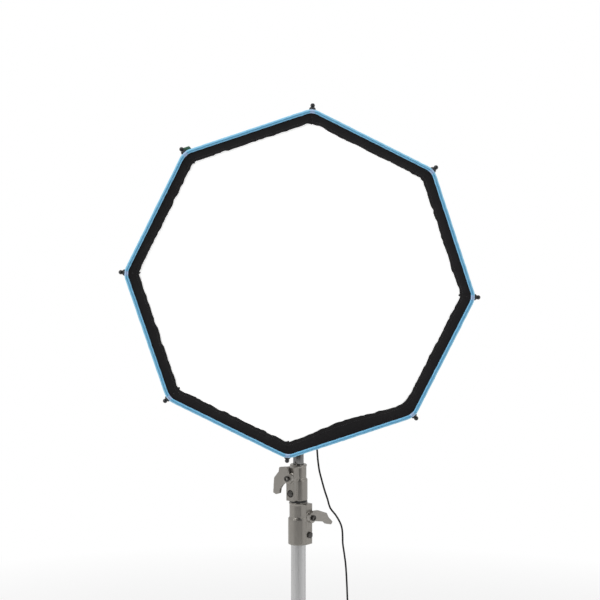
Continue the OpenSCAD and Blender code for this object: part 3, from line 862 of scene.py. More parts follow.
def coilRoute():
    # clockwise turns, spiralling from one turn's radius to the next
    cx, cy = lead["coilCentre"]
    turns = lead["turns"]
    points = []
    perTurn = 28
    for i, (radius, height) in enumerate(turns):
        after = turns[min(i + 1, len(turns) - 1)]
        for step in range(perTurn):
            t = step / perTurn
            ease = smoothStep(0.55, 1.0, t)
            r = radius + (after[0] - radius) * ease
            z = height + (after[1] - height) * ease
            angle = math.radians(lead["coilStart"]) - 2 * math.pi * t
            points.append(Vector((cx + r * math.cos(angle), cy + r * math.sin(angle), z)))
    radius, height = turns[-1]
    for step in range(10):   # out over the side and down to the plug
        t = step / 10
        r = radius + 7.0 * smoothStep(0.1, 0.9, t)
        z = height + (8.6 - height) * smoothStep(0.2, 1.0, t)
        angle = math.radians(lead["coilStart"]) - math.radians(lead["coilOnward"]) * t
        points.append(Vector((cx + r * math.cos(angle), cy + r * math.sin(angle), z)))
    return points


def leadPiece(name, route):
    path = curveThrough(name + "Path", route)
    piece = shaped(name, tubeAlong, Path=path, Radius=lead["diameter"] / 2, Material=finishes["cord"])
    dropped(path)
    return piece


def pathLength(route):
    return sum((b - a).length for a, b in zip(route, route[1:]))


def makeLead():
    scaled = {key: [Vector(p) * mm for p in lead[key]] for key in ("head", "inClip", "upper")}
    headRoute = smoothRoute(scaled["head"] + scaled["inClip"], 8)
    upperRoute = smoothRoute(scaled["inClip"] + scaled["upper"], 8)
    end = Vector(lead["plugEntry"])
    lower = [Vector(p) for p in lead["lower"]] + coilRoute()
    lower += [end + Vector((0.8, 4.5, 0.3)), end + Vector((0, 0, 0)), end + Vector((0, -6, 0))]
    lowerRoute = [p * mm for p in smoothRoute(lower, 3)]
    head = leadPiece("leadHead", headRoute)
    upper = leadPiece("leadUpper", upperRoute)
    low = leadPiece("leadLower", lowerRoute)
    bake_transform(head)
    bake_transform(upper)
    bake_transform(low)
    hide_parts("cord_head")
    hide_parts("cord_upper")
    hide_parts("cord_lower", "cord_coil")
    return (head, headRoute), (upper, upperRoute), (low, lowerRoute)


leadParts = makeLead()


def makeCoilTies():
    # two hook-and-loop ties round the coil
    cx, cy = lead["coilCentre"]
    middleR = 27.5
    outline = [(19.6, 0.2), (35.4, 0.2), (35.6, 10.4), (33.2, 14.9), (26.4, 14.9), (19.4, 10.2)]
    section = rounded([outline[-1]] + outline + [outline[0]], 2.5)[1:-1]
    made = []
    for i, azimuth in enumerate((75, 255)):
        a = math.radians(azimuth)
        out = Vector((math.cos(a), math.sin(a), 0))
        along = Vector((-out.y, out.x, 0))
        bm = bmesh.new()
        rings = []
        for shift in (-6.5, -5.8, 5.8, 6.5):
            narrower = 1 if abs(shift) < 6 else 1 - 0.25 / 8
            middle = Vector((cx, cy, 0)) + along * shift
            rings.append([bm.verts.new((middle + out * (middleR + (r - middleR) * narrower)
                                        + Vector((0, 0, max(z, 0.3)))) * mm)
                          for r, z in section])
        addStrip(bm, rings, True)
        tie = pieceFrom(bm, f"coilTie_{i + 1}", "webbing", "stand_base")
        thickened(tie, 1.0 * mm, sharp=35)
        made.append(tie)
    return made


def makePlug():
    # in-line connector with a ribbed grip and a locking collar
    x, y, z = (c * mm for c in lead["plugEntry"])
    base = axisMatrix((x, (lead["coilCentre"][1] - 12) * mm, z), (0, -1, 0), (0, 0, 1))
    bm = bmesh.new()
    sleeve = [(0, 0.0), (3.2, 0.0)]
    for i in range(6):
        r, h = 3.6 + 0.35 * i, 2.3 * i
        sleeve += [(r, 0.6 + h), (r, 2.0 + h), (r - 0.3, 2.2 + h)]
    sleeve += [(6.0, 15.5), (7.6, 17), (7.9, 19)]
    for i in range(7):
        sleeve += [(7.9, 20 + 2.4 * i), (7.4, 20.5 + 2.4 * i), (7.4, 21.3 + 2.4 * i), (7.9, 21.8 + 2.4 * i)]
    sleeve += [(7.9, 40.5), (7.0, 41.8), (5.6, 41.9), (5.5, 50.5), (5.0, 51.4), (3.9, 51.4), (3.9, 46),
               (0, 46)]
    addTurned(bm, inMm(sleeve), base, 36)
    return pieceFrom(bm, "leadPlug", "nylon", "stand_base", ["cord_plug"], sharp=24)


coilTies = makeCoilTies()
leadPlug = makePlug()
for (piece, route), farEnd, tied in zip(
        leadParts, ("object", "object", "connector"), ([], [], [leadPlug, *coilTies])):
    round(pathLength(route), 3)
    "hanging" if farEnd == "object" else "coiled"
print("lead:", [round(pathLength(route), 3) for _, route in leadParts])


cloth = {
    "columns": 30,          # to half a side, denser towards its corner
    "bindingWide": 9.1,     # millimetres, seen from the front
    "bindingDeep": 12.0,
    "bindingCorner": 40.0,
    "bandUpper": 24.2,      # the loop lip, seen from the front
    "bandLower": 23.8,
    "bandSlack": 10.5,      # more of it where the elastic has slipped
    "slackAt": -71.6,       # degrees
    "ruffle": 1.7,
    "lipCorners": (25, 35, 22, 25, 18, 20, 28, 62),
    "neckR": 98,            # corner radius where the skin starts
    "neckZ": 112,
    "skinStart": 112.4,
    "skinEnd": 19.5,        # from here on measured back from the front
    "liningStart": 135,
    "liningEnd": 38.5,
    "lipDrop": 26.6,
    "diffuserBack": 35.5,
    "sag": 9.0,             # how far a side panel hollows between its rods
    "blendReach": 0.110,    # metres from the middle of a side to where cloth is the rod's
}
side = math.radians(22.5)
frontCorner = bagR / mm
frontMm = frontZ / mm


def skinR(z):
    # corner radius of the skin at z, both in millimetres
    r0, z0 = cloth["neckR"], cloth["neckZ"]
    return r0 + (z - z0) * (frontCorner - 8 - r0) / (frontMm - 16 - z0)


def polygonRadius(cornerR, rounding, delta):
    # distance from the axis to a rounded octagon, at an angle from its nearest corner
    apothem = cornerR * math.cos(side)
    rounding = min(rounding, apothem * 0.96)
    centre = (apothem - rounding) / math.cos(side)
    meets = math.atan2(rounding * math.sin(side), centre + rounding * math.cos(side))
    d = abs(delta)
    if d < meets:
        return centre * math.cos(d) + math.sqrt(rounding ** 2 - (centre * math.sin(d)) ** 2)
    return apothem / math.cos(side - d)


def columnAngles():
    # (corner index, angle from that corner) right round, half a side at a time
    n = cloth["columns"]
    half = []
    for j in range(n + 1):
        across = 1 - (j / n) ** 1.7
        half.append(side - math.atan(math.tan(side) * across))
    out = []
    for k in range(8):
        out += [(k, half[j]) for j in range(n)]
        out += [((k + 1) % 8, -half[n - j]) for j in range(n)]
    return out


ringColumns = columnAngles()


def ringPoints(rows, shape):
    # rows hold (corner radius, z, rounding); shape moves each point outwards and forwards
    grid = []
    count = len(rows)
    for i, (cornerR, z, rounding) in enumerate(rows):
        line = []
        for k, delta in ringColumns:
            azimuth = cornerAzimuth(k + 1) + delta
            turn = rounding[k] if isinstance(rounding, list) else rounding
            base = polygonRadius(cornerR, turn, delta) if cornerR > 1 else cornerR
            out, forward = shape(i / (count - 1), azimuth, delta, base, z)
            line.append(aboutAxis(max(base + out, 0.0) * mm, azimuth, (z + forward) * mm))
        grid.append(line)
    return grid


def ringNormals(grid):
    rows, columns = len(grid), len(grid[0])
    out = []
    for i in range(rows):
        line = []
        for c in range(columns):
            along = grid[i][(c + 1) % columns] - grid[i][c - 1]
            up = grid[min(i + 1, rows - 1)][c] - grid[max(i - 1, 0)][c]
            normal = along.cross(up)
            if normal.length < 1e-12:
                normal = Vector((0, -1, 0))
            line.append(normal.normalized())
        out.append(line)
    return out


def halfMesh(name, grid, normals, h, thickness, finishNames, tack=None, stitches=None):
    # one half side of a ring cloth: both faces and its four edges, with the whole ring's normals
    n = cloth["columns"]
    total = len(ringColumns)
    columns = [(h * n + j) % total for j in range(n + 1)]
    rows = len(grid)
    verts, index = [], {}
    normalOf = []
    for layer in (0, 1):
        for i in range(rows):
            for c in columns:
                point = grid[i][c] - normals[i][c] * (thickness * layer)
                atFirst = (grid[i][c] - grid[i][columns[0]]).length < 1e-9
                if i == rows - 1 and atFirst and c != columns[0]:
                    index[layer, i, c] = index[layer, i, columns[0]]
                    continue
                index[layer, i, c] = len(verts)
                verts.append(point)
                normalOf.append(normals[i][c] * (1 if layer == 0 else -1))
    faces, loopNormals, uvs = [], [], []
    lengths = [0.0]
    middle = columns[n] if h % 2 == 0 else columns[0]
    for i in range(1, rows):
        lengths.append(lengths[-1] + (grid[i][middle] - grid[i - 1][middle]).length)

    def acrossOf(i, c):
        k, delta = ringColumns[c]
        radius = Vector((grid[i][c].x, grid[i][c].z - axisHeight)).length
        across = radius * math.sin(side - abs(delta))
        return -across if h % 2 == 0 else across

    def addFace(keys, flat=None):
        ids = [index[key] for key in keys]
        unique = list(dict.fromkeys(ids))
        if len(unique) < 3:
            return
        kept = [keys[ids.index(each)] for each in unique]
        faces.append(unique)
        points = [verts[each] for each in unique]
        own = (points[1] - points[0]).cross(points[2] - points[0]).normalized() if flat else None
        for key, each in zip(kept, unique):
            loopNormals.append(own if flat else normalOf[each])
            uvs.append((acrossOf(key[1], key[2]), lengths[key[1]]))

    for i in range(rows - 1):
        for a, b in zip(columns, columns[1:]):
            addFace([(0, i, a), (0, i, b), (0, i + 1, b), (0, i + 1, a)])
            addFace([(1, i, a), (1, i + 1, a), (1, i + 1, b), (1, i, b)])
        for c, flip in ((columns[0], False), (columns[-1], True)):
            keys = [(0, i, c), (0, i + 1, c), (1, i + 1, c), (1, i, c)]
            addFace(keys[::-1] if flip else keys, flat=True)
    for a, b in zip(columns, columns[1:]):
        addFace([(0, 0, b), (0, 0, a), (1, 0, a), (1, 0, b)], flat=True)
        addFace([(0, rows - 1, a), (0, rows - 1, b), (1, rows - 1, b), (1, rows - 1, a)], flat=True)
    materialOf = [0] * len(faces)
    tacks = [0.0] * len(verts) if tack else None
    if tack:
        for (layer, i, c), v in index.items():
            tacks[v] = tack(i, c)
    if stitches:
        moreVerts, moreFaces, moreNormals = stitches
        base = len(verts)
        verts += moreVerts
        if tacks:
            tacks += [0.0] * len(moreVerts)
        for face, each in zip(moreFaces, moreNormals):
            faces.append([base + v for v in face])
            loopNormals += each
            uvs += [(0.0, 0.0)] * len(face)
            materialOf.append(1)
    mesh = bpy.data.meshes.new(name)
    mesh.from_pydata([tuple(v) for v in verts], [], faces)
    for each in finishNames:
        mesh.materials.append(finishes[each])
    mesh.polygons.foreach_set("material_index", materialOf)
    mesh.polygons.foreach_set("use_smooth", [True] * len(faces))
    layer = mesh.uv_layers.new(name="UVMap")
    layer.data.foreach_set("uv", [value for pair in uvs for value in pair])
    if tacks:
        attribute = mesh.attributes.new("barTack", "FLOAT", "POINT")
        attribute.data.foreach_set("value", tacks)
    mesh.normals_split_custom_set([tuple(v) for v in loopNormals])
    piece = bpy.data.objects.new(name, mesh)
    scene.collection.objects.link(piece)
    return piece


def stitchedInto(lines, pitch, stitch, thread, finish):
    # lays stitches along many lines in one go, then sorts them by the half side they lie on
    path = curveThrough("stitchLines", *lines)
    laid = shaped("stitches", stitchesAlong, Path=path, Pitch=pitch, Stitch=stitch, Thread=thread,
                  Material=finishes[finish])
    dropped(path)
    mesh = laid.data
    perStitch = stitchBead["segments"] * (stitchBead["rings"] - 1) + 2
    positions = [v.co.copy() for v in mesh.vertices]
    vertexNormals = [v.vector.copy() for v in mesh.vertex_normals]
    byHalf, halfOf, firstOf = {}, [], []
    for start in range(0, len(positions), perStitch):
        centre = positions[start]
        azimuth = math.atan2(centre.z - axisHeight, centre.x) - cornerAzimuth(1)
        h = int((azimuth % (2 * math.pi)) / side) % 16
        verts = byHalf.setdefault(h, ([], [], []))[0]
        halfOf.append(h)
        firstOf.append(len(verts))
        verts += positions[start:start + perStitch]
    for polygon in mesh.polygons:
        ids = list(polygon.vertices)
        number = ids[0] // perStitch
        shift = firstOf[number] - number * perStitch
        verts, faces, normals = byHalf[halfOf[number]]
        faces.append([v + shift for v in ids])
        normals.append([vertexNormals[v] for v in ids])
    dropped(laid)
    return byHalf


def ringCloth(name, node, rows, shape, thickness, finish, tack=None, stitches=None,
              threadFinish="thread"):
    # sixteen pieces, one to each half side of the ring
    grid = ringPoints(rows, shape)
    normals = ringNormals(grid)
    lines = stitches(grid, normals) if stitches else None
    byHalf = stitchedInto(*lines, threadFinish) if lines else {}
    for h in range(16):
        corner = ((h + 1) // 2) % 8 + 1
        letter = "b" if h % 2 == 0 else "a"
        piece = halfMesh(f"{name}_{corner}{letter}", grid, normals, h, thickness,
                         [finish, threadFinish] if lines else [finish], tack, byHalf.get(h))
        middle = cornerAzimuth(corner) + (side if letter == "b" else -side)
        sign = 1 if letter == "b" else -1
        towards = Vector((math.sin(middle), 0, -math.cos(middle))) * sign
        start = aboutAxis(0.2, middle, 0.3)
        start + towards * cloth["blendReach"]
        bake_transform(piece)
        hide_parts(node)


def panelSag(v, delta):
    hollow = math.sin(math.pi * v) ** 0.8 * (1 - smoothStep(0.8, 0.96, v))
    return -cloth["sag"] * hollow * (abs(delta) / side) ** 2


def at(azimuth, r, z, scale):
    # noise that runs on right round the ring
    return noise(Vector((r * math.cos(azimuth), r * math.sin(azimuth), z)) * scale)


def skinShape(v, azimuth, delta, r, z):
    fromCorner = r * math.sin(abs(delta))
    seam = 1.3 * math.exp(-(fromCorner / 5.0) ** 2)
    gather = 1.8 * smoothStep(0.22, 0.0, v) * math.sin(azimuth * 96 + 2 * at(azimuth, r, z, 0.02))
    gather *= 1 - 0.7 * math.exp(-(fromCorner / 6) ** 2)
    folds = 1.6 * at(azimuth, r, z * 0.35, 0.022) + 0.7 * at(azimuth, r, z, 0.06)
    folds *= math.sin(math.pi * min(v * 1.08, 1))
    hem = smoothStep(0.86, 1.0, v) * at(azimuth, r, z, 0.05)
    return panelSag(v, delta) + seam + gather + folds + hem, 0.0


def liningShape(v, azimuth, delta, r, z):
    folds = 1.8 * at(azimuth, r, z, 0.03) + 0.9 * at(azimuth, r, z, 0.09)
    return panelSag(v, delta) * 0.9 - 1.5 + folds, 0.0


def bandAt(azimuth):
    # width of the loop lip at an azimuth, in millimetres
    degrees = (math.degrees(azimuth) + 180) % 360 - 180
    upper = smoothStep(-10, 30, degrees) * smoothStep(190, 150, degrees)
    away = abs((degrees - cloth["slackAt"] + 180) % 360 - 180)
    return (cloth["bandLower"] + (cloth["bandUpper"] - cloth["bandLower"]) * upper
            + cloth["bandSlack"] * math.exp(-(away / 15) ** 2))


def lipShape(v, azimuth, delta, r, z):
    extra = (bandAt(azimuth) - cloth["bandLower"]) * v
    ruffle = cloth["ruffle"] * v ** 2 * (1.5 * at(azimuth, 380, 0, 0.045) + 1.1 * at(azimuth, 380, 90, 0.11))
    wave = 2.2 * v ** 1.5 * at(azimuth, 380, 40, 0.05)
    return -extra - ruffle, wave


def bindingShape(v, azimuth, delta, r, z):
    wavy = 0.55 * at(azimuth, 430, 12, 0.09) + 0.35 * at(azimuth, 430, 70 + v * 20, 0.22)
    return wavy, 0.8 * at(azimuth, 430, 33, 0.05)


def diffuserShape(v, azimuth, delta, r, z):
    pucker = 0.8 * smoothStep(260, 380, r) * math.sin(azimuth * 48 + 3 * at(azimuth, 300, 0, 0.01))
    pucker *= smoothStep(0.25, 1.0, abs(delta) / side)
    belly = 1.8 * (1 - (r / 400) ** 2)
    return 0.0, belly + pucker * 0.6 + 0.5 * at(azimuth, r, 0, 0.012) * min(r / 60, 1)


stitching = {
    # pitch, length of a stitch and half its thread's width, in metres
    "seam": (0.0055, 0.0040, 0.00034),
    "hem": (0.0042, 0.0030, 0.00032),
    "binding": (0.0036, 0.0030, 0.00055),
    "beside": 4,      # columns from a corner seam to each row of stitches
    "lift": 0.0002,   # how far a thread's middle stands off the cloth
}


def lineRound(grid, normals, row, lift):
    # a closed line right round a cloth, on one of its rows
    ring = [grid[row][c] + normals[row][c] * lift for c in range(len(ringColumns))]
    return ring + [ring[0]]


def seamLines(grid, normals):
    # two rows of stitches beside each corner seam
    lines = []
    for k in range(8):
        for step in (stitching["beside"], -stitching["beside"]):
            c = (k * 2 * cloth["columns"] + step) % len(ringColumns)
            lines.append([grid[i][c] + normals[i][c] * stitching["lift"] for i in range(1, len(grid) - 2)])
    return lines, *stitching["seam"]


def hemLine(grid, normals):
    return [lineRound(grid, normals, 9, stitching["lift"])], *stitching["hem"]


def bindingLine(grid, normals):
    # the thread sits a little deeper in the tape's groove
    return [lineRound(grid, normals, 6, stitching["lift"] * 0.75)], *stitching["binding"]


def makeSkin():
    endZ, steps = frontMm - cloth["skinEnd"], 24
    rows = []
    for i in range(steps + 1):
        v = i / steps
        z = cloth["skinStart"] + (endZ - cloth["skinStart"]) * v
        rows.append((skinR(z), z, 8 + 3 * v))
    # the hem stands up straight, inside the binding
    rows += [(skinR(endZ) + 1.3, frontMm - 15.5, 11), (skinR(endZ) + 2.0, frontMm - 11.0, 11)]
    ringCloth("bagSkin", "bag_skin", rows, skinShape, 0.9 * mm, "skin", stitches=seamLines)
    print("skin")


def makeLining():
    rows = []
    steps = 18
    for i in range(steps + 1):
        z = cloth["liningStart"] + (frontMm - cloth["liningEnd"] - cloth["liningStart"]) * i / steps
        flare = 14.5 * smoothStep(frontMm - 90, frontMm - 38, z)
        rows.append((skinR(z) - 20.5 + flare, z, 6))
    ringCloth("bagLining", "bag_lining", rows, liningShape, 0.6 * mm, "silver")
    print("lining")


def makeLip():
    rows = []
    steps = 12
    startIn, startZ = cloth["bindingWide"] - 1.4, frontMm - 4.5
    for i in range(steps + 1):
        v = i / steps
        inset = startIn + (cloth["bindingWide"] + cloth["bandLower"] - startIn) * v
        corners = [11 + (c - 11) * smoothStep(0, 1, v) for c in cloth["lipCorners"]]
        drop = cloth["lipDrop"] * (0.25 * v + 0.75 * v ** 1.6)
        rows.append((frontCorner - inset / math.cos(side), startZ - drop, corners))
    ringCloth("frontLip", "front_lip", rows, lipShape, 1.3 * mm, "loop", stitches=hemLine)
    print("lip")


def tackAt(i, c):
    # 1 on the bar tack over a corner of the binding, 0 beside it
    k, delta = ringColumns[c]
    return 1.0 - smoothStep(4.4, 6.6, frontCorner * math.sin(abs(delta)))


def makeBinding():
    # tape folded over the front edge, round in front
    wide, deep = cloth["bindingWide"] / 2, cloth["bindingDeep"]
    centreR, backZ = frontCorner - wide / math.cos(side), frontMm - deep
    section = [(wide, 0.0), (wide, deep * 0.3)]
    for i in range(9):
        turn = math.pi * i / 8
        section.append((wide * math.cos(turn) ** 3 * 0.35 + wide * math.cos(turn) * 0.65,
                        deep - wide * 0.95 + wide * 0.95 * math.sin(turn) ** 0.75))
    section += [(-wide, deep * 0.3), (-wide, 0.0)]
    rows = [(centreR + across / math.cos(side), backZ + up, cloth["bindingCorner"] + across)
            for across, up in section]
    ringCloth("edgeBinding", "edge_binding", rows, bindingShape, 1.0 * mm, "blue",
              tack=tackAt, stitches=bindingLine, threadFinish="blueThread")
    print("binding")


def flatRows(cornerR, z, rounding, steps):
    # from the edge in to the middle, closer together near the edge
    return [(cornerR * (1 - (i / steps) ** 1.15), z, rounding * (1 - i / steps)) for i in range(steps + 1)]


def makeDiffusers():
    face = flatRows(frontCorner - 32.5, frontMm - cloth["diffuserBack"], 16, 14)
    baffleZ = -middleOf("inner_baffle").y / mm
    baffle = flatRows(skinR(baffleZ) - 38.5, baffleZ, 14, 12)
    # both cloths take the painted glow of the diffusion finish
    for name, node, rows in (("diffuser", "front_diffuser", face), ("baffle", "inner_baffle", baffle)):
        ringCloth(name, node, rows, diffuserShape, 0.5 * mm, "diffusion")
    print("diffusers")


def cornerMatrix(k):
    # local X out along the corner, Y round, Z forward
    a = cornerAzimuth(k)
    out, onward = Vector((math.cos(a), 0, math.sin(a))), Vector((-math.sin(a), 0, math.cos(a)))
    turn = Matrix((out, onward, Vector((0, -1, 0)))).transposed().to_4x4()
    return Matrix.Translation((0, 0, axisHeight)) @ turn


rod = {
    "tipBack": 16 * mm,     # the tips' axis, back from the front
    "endIn": 17 * mm,       # the bar's end, in from the bag's corner
    "ballR": 5.5 * mm,
    "ballOut": 6.0 * mm,
    "pocketWide": 8.2 * mm,
    "tabCorner": 4,
}
tipZ = frontZ - rod["tipBack"]


def makeBar(k):
    rise, run = tipZ - rodHingeZ, bagR - rod["endIn"] - rodHingeR
    bar = bmesh.new()
    lean = axisMatrix((rodHingeR, 0, rodHingeZ), (run, 0, rise), (0, 1, 0))
    length = math.hypot(rise, run) / mm
    addTurned(bar, inMm([(0, 3.4), (2.9, 3.5), (3.9, 5), (3.9, 26), (3.4, 28), (3.0, 29),
                         (3.0, length - 3), (2.2, length), (0, length)]), cornerMatrix(k) @ lean, 16)
    eye = axisMatrix((rodHingeR, 0, rodHingeZ), (0, 1, 0), (1, 0, 0))
    addTurned(bar, inMm([(2.6, -3.6), (3.0, -4.0), (4.6, -4.0), (5.0, -3.6), (5.0, 3.6), (4.6, 4.0),
                         (3.0, 4.0), (2.6, 3.6), (2.6, -3.6)]), cornerMatrix(k) @ eye, 28)
    pieceFrom(bar, f"rodBar_{k}", "rod", f"rod_{k}", [f"rod_{k}"])


def makeTip(k):
    # moulded tip: a socket on the bar, a flare outside the binding and a ball; heights from the bag's corner
    tip = bmesh.new()
    profile = [(r * mm, h * mm + bagR) for r, h in (
        (0, -23.5), (2.9, -22.6), (3.7, -20.9), (3.9, -19.2), (3.5, -17.0), (2.9, -15.6), (2.8, -7.0),
        (6.6, -6.4), (7.4, -5.6), (7.7, -4.0), (7.7, -1.4), (7.0, 0.2), (5.2, 2.0), (3.5, 2.8))]
    ballAt, steps = bagR + rod["ballOut"], 14
    for i in range(steps + 1):
        t = math.radians(36 + 144 * i / steps)
        profile.append((rod["ballR"] * math.sin(t) if i < steps else 0, ballAt - rod["ballR"] * math.cos(t)))
    outwards = axisMatrix((0, 0, tipZ), (1, 0, 0), (0, 1, 0))
    addTurned(tip, profile, cornerMatrix(k) @ outwards, 28)
    pieceFrom(tip, f"rodTip_{k}", "tip", f"rod_{k}", [f"rod_{k}"], sharp=50)


def makePocket(k):
    pocket = bmesh.new()
    wide = rod["pocketWide"]
    addBox(pocket, (bagR - wide, -wide, tipZ - 4.4 * mm), (bagR - 2.2 * mm, wide, tipZ + 4.6 * mm),
           cornerMatrix(k))
    loop = pieceFrom(pocket, f"cornerPocket_{k}", "webbing", f"rod_{k}", ["corner_pockets"])
    edges = loop.modifiers.new("edges", "BEVEL")
    edges.width = 1.6 * mm
    edges.segments = 3
    evaluated(loop)
    loop.data.shade_smooth()


def makeTab():
    # folded ribbon along the side, a little open at its loop
    tab = bmesh.new()
    corner = cornerMatrix(rod["tabCorner"])
    rows, steps = [], 8
    for i in range(steps + 1):
        t = i / steps
        bow = 0.9 * math.sin(math.pi * t)
        outward = bagR / mm - 2.6 + 8.4 * t
        rows.append([])
        for y, lift in ((-19.0, 0.4), (-14.5, 0.1), (-9.0, 0.0), (-4.0, 0.2)):
            point = Vector((outward + (y + 4.5) * math.tan(side), y, tipZ / mm + 1.0 + bow + lift))
            rows[-1].append(tab.verts.new(corner @ (point * mm)))
    addStrip(tab, rows, False)
    ribbon = pieceFrom(tab, "markerTab", "tab", "rod_4", ["marker_tab"])
    thickened(ribbon, 1.5 * mm, 0, 35)


def makeCuff():
    # webbing round the neck, over the start of the skin
    cuff = bmesh.new()
    rows = []
    for r, z in ((101.2, 97.2), (102.2, 98.2), (102.0, 103), (100.8, 109.5), (99.0, 112.6)):
        rows.append([])
        for k, delta in ringColumns[::3]:
            azimuth = cornerAzimuth(k + 1) + delta
            radius = polygonRadius(r, 58, delta) + 0.5 * at(azimuth, r, z, 0.06)
            rows[-1].append(cuff.verts.new(aboutAxis(radius * mm, azimuth, z * mm)))
    addStrip(cuff, rows, True)
    neck = pieceFrom(cuff, "neckCuff", "webbing", "softbox", ["bag_skin"])
    thickened(neck, 1.6 * mm)


def makeRods():
    for k in range(1, 9):
        makeBar(k)
        makeTip(k)
        makePocket(k)
    makeTab()
    makeCuff()
    print("rods, tips and pockets")


makeSkin()
makeLining()
makeLip()
makeBinding()
makeDiffusers()
makeRods()


cast = {
    "rim": 1.3,        # how far a rim stands proud, millimetres
    "rimHigh": 5.6,
    "voxel": 0.9 * mm,
    # outer and inner radius of a casting's mouth, then the height and azimuth of its lever's hub
    "receiver": (21.5, 16.0, 808, -126),
    "clamp": (24.0, 19.0, 700, -40),
}


def rimRing(top, outer, inner):
    # a proud rim round the mouth of a casting
    def extra(bm):
        low = top - cast["rimHigh"]
        r = outer + cast["rim"]
        addTurned(bm, inMm([(inner, low), (r - 0.6, low), (r, low + 0.8), (r, top - 1.6),
                            (r - 1.4, top - 0.2), (inner + 0.8, top - 0.2), (inner, top - 0.9),
                            (inner, low)]), Matrix(), 64)
    return extra


def makeSocket(which):
    # hex socket screw in the middle of a lever's hub
    height, azimuth = cast[which][2:]
    a = math.radians(azimuth)
    outwards = axisMatrix((0, 0, height * mm), (math.cos(a), math.sin(a), 0), (0, 0, 1))
    screw = bmesh.new()
    addTurned(screw, inMm([(0, 50.0), (7.4, 50.0), (7.8, 50.6), (7.8, 55.2), (7.0, 56.2), (4.6, 56.3),
                           (4.0, 55.8), (4.0, 52.4), (0, 52.4)]), outwards, 30)
    pieceFrom(screw, f"{which}Socket", "bolt", f"{which}_lever", sharp=28)


def makeCastings():
    for which, body in (("receiver", "riser"), ("clamp", "stand_base")):
        node = f"{which}_casting"
        outer, inner = cast[which][:2]
        castPiece(f"{which}Casting", node, "cast", body, cast["voxel"],
                  extra=rimRing(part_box(node)[1].z / mm, outer, inner))
    for which in ("receiver", "clamp", "collar"):
        node = f"{which}_lever"
        castPiece(f"{which}Lever", node, "castLever", node, 0.8 * mm, rounds=9)
    for which, body in (("receiver", "riser"), ("clamp", "stand_base")):
        bevelled(f"{which}Bolt", f"{which}_bolt", "bolt", body, 0.5 * mm)
    makeSocket("receiver")
    makeSocket("clamp")
    bevelled("riserBush", "riser_bush", "nylon", "stand_base", 0.7 * mm, 3)
    castPiece("legCollar", "leg_collar", "cast", "leg_collar", 1.0 * mm)
    castPiece("legBase", "leg_base", "cast", "stand_base", 1.0 * mm)
    print("castings")


stand = {
    "column": (20 * mm, 18.15 * mm),   # outer and inner radius
    "riser": (17.5 * mm, 15.6 * mm),
    "legAngles": (90, 210, 330),
    "footReach": 442 * mm,
    "footR": 14.6,
}


def tubeBetween(name, node, outer, inner, finish, body, slot):
    # drawn tube, turned on the stand's axis, with broken ends
    low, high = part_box(node)
    a, b, e = low.z, high.z, 0.8 * mm
    bm = bmesh.new()
    addTurned(bm, [(inner, a + e), (inner + e, a), (outer - e, a), (outer, a + e), (outer, b - e),
                   (outer - e, b), (inner + e, b), (inner, b - e), (inner, a + e)], Matrix(), 96)
    pieceFrom(bm, name, finish, body, [node], sharp=24)


def makeFoot(k):
    # rubber pad, flat where it stands and round above
    angle = math.radians(stand["legAngles"][k - 1])
    reach, r = stand["footReach"], stand["footR"]
    profile = [(0, 0.25), (8.2, 0.25), (9.6, 0.9)]
    for i in range(9):
        t = math.radians(-44 + 104 * i / 8)
        profile.append((r * math.cos(t), 11 + r * math.sin(t)))
    profile.append((0, 24.6))
    bm = bmesh.new()
    under = Matrix.Translation((reach * math.cos(angle), reach * math.sin(angle), 0))
    addTurned(bm, inMm(profile), under, 36)
    pieceFrom(bm, f"footPad_{k}", "rubber", f"leg_{k}", [f"leg_{k}"], sharp=40)


def makeTubes():
    tubeBetween("columnTube", "column_tube", *stand["column"], "tube", "stand_base", "column_steel")
    tubeBetween("riserTube", "riser_tube", *stand["riser"], "chromeTube", "riser", "riser_steel")
    for k in range(1, 4):
        bevelled(f"leg_{k}_tube", f"leg_{k}", "strut", f"leg_{k}", 0.6 * mm)
        bevelled(f"brace_{k}_straps", f"brace_{k}", "strut", f"brace_{k}", 0.5 * mm)
        makeFoot(k)
    print("tubes and legs")


def makeYoke():
    bevelled("yokeArm", "yoke_arm", "coat", "yoke", 1.0 * mm, 3)
    bevelled("juniorPin", "junior_pin", "pin", "yoke", 0.7 * mm, 3)
    bevelled("frictionWashers", "friction_washers", "nylon", "yoke", 0.3 * mm)
    bevelled("cordClip", "cord_clip", "nylon", "yoke", 0.8 * mm, 3)
    castPiece("tiltLever", "tilt_lever", "leverCoat", "tilt_lever", 0.8 * mm, rounds=8)
    print("yoke")


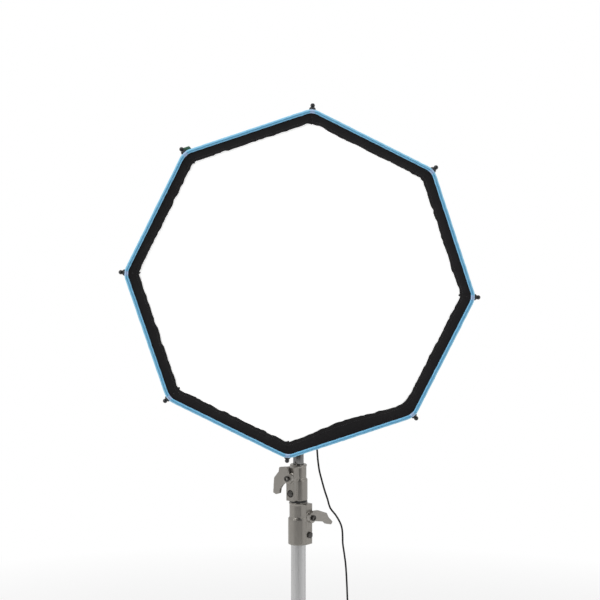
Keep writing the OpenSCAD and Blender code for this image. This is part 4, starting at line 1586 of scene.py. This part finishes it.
lampParts = [
    # name, CAD node, finish, body, slot, width of broken edge in millimetres
    ("ringHub", "ring_hub", "anodised", "softbox", "black_anodised", 0.5),
    ("clevisPins", "clevis_pins", "bright", "softbox", "bright_steel", 0.3),
    ("adapterRing", "adapter_ring", "turned", "lamp", "clear_aluminium", 0.6),
    ("lampHousing", "lamp_housing", "coat", "lamp", "charcoal_paint", 1.0),
    ("heatSink", "heat_sink", "fin", "lamp", "sink_aluminium", 0.4),
    ("ledBoard", "led_board", "phosphor", "lamp", "phosphor", 0.3),
    ("rearPanel", "rear_panel", "coat", "lamp", "charcoal_paint", 1.2),
    ("displayWindow", "display_window", "window", "lamp", "display_glass", 0.4),
    ("tiltTrunnions", "tilt_trunnions", "darkSteel", "lamp", "pivot_steel", 0.7),
    ("rearHandle", "rear_handle", "rubber", "lamp", "black_rubber", 1.2),
    ("lampScrews", "lamp_screws", "darkSteel", "lamp", "bright_steel", 0.25),
    ("tuningKnob", "tuning_knob", "nylon", "tuning_knob", "black_nylon", 0.6),
    ("powerSwitch", "power_switch", "red", "power_switch", "red_switch", 0.5),
    ("springCatch", "spring_catch", "bright", "spring_catch", "bright_steel", 0.5),
]


def makeLamp():
    for name, node, finish, body, slot, width in lampParts:
        bevelled(name, node, finish, body, width * mm)
    pieceFrom(cadCopy("led_lens"), "ledLens", "glass", "lamp", ["led_lens"], sharp=40)
    print("lamp")


def makeKnobTicks():
    # printed ticks round the tuning knob, the first, sixth and last longer
    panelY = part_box("rear_panel")[1].y
    knob = middleOf("tuning_knob")
    ticks = bmesh.new()
    for i in range(11):
        turn = math.radians(-135 + 27 * i)
        out = Vector((math.sin(turn), 0, math.cos(turn)))
        place = axisMatrix((knob.x, panelY, knob.z), (0, 1, 0), out)
        long = 3.4 if i % 5 == 0 else 2.2
        addBox(ticks, Vector((17.0, -0.35, -0.05)) * mm, Vector((17.0 + long, 0.35, 0.15)) * mm, place)
    pieceFrom(ticks, "knobTicks", "mark", "lamp", sharp=30)


def makeGland():
    # threaded gland with its nut and a ribbed strain relief on the lead
    low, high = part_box("cord_gland")
    x, y = (low.x + high.x) / 2, (low.y + high.y) / 2
    bm = bmesh.new()
    down = axisMatrix((x, y, high.z), (0, 0, -1), (1, 0, 0))
    profile = [(0, 0), (8.4, 0), (8.8, 0.5), (8.8, 4.4), (8.2, 5.0), (7.2, 5.4), (7.2, 6.4), (8.3, 7.0),
               (8.3, 14.0), (7.4, 15.2)]
    for i in range(6):
        r, h = 6.0 - 0.42 * i, 3.6 * i
        profile += [(r, 15.6 + h), (r, 17.6 + h), (r - 0.7, 18.2 + h), (r - 0.7, 18.9 + h)]
    profile += [(3.3, 37.9), (3.1, 38.0), (2.55, 38.0), (2.55, 30.0), (0, 30.0)]
    addTurned(bm, inMm(profile), down, 32)
    pieceFrom(bm, "cordGland", "nylon", "lamp", ["cord_gland"], sharp=28)
    print("ticks and gland")


makeCastings()
makeTubes()
makeYoke()
makeLamp()
makeKnobTicks()
makeGland()
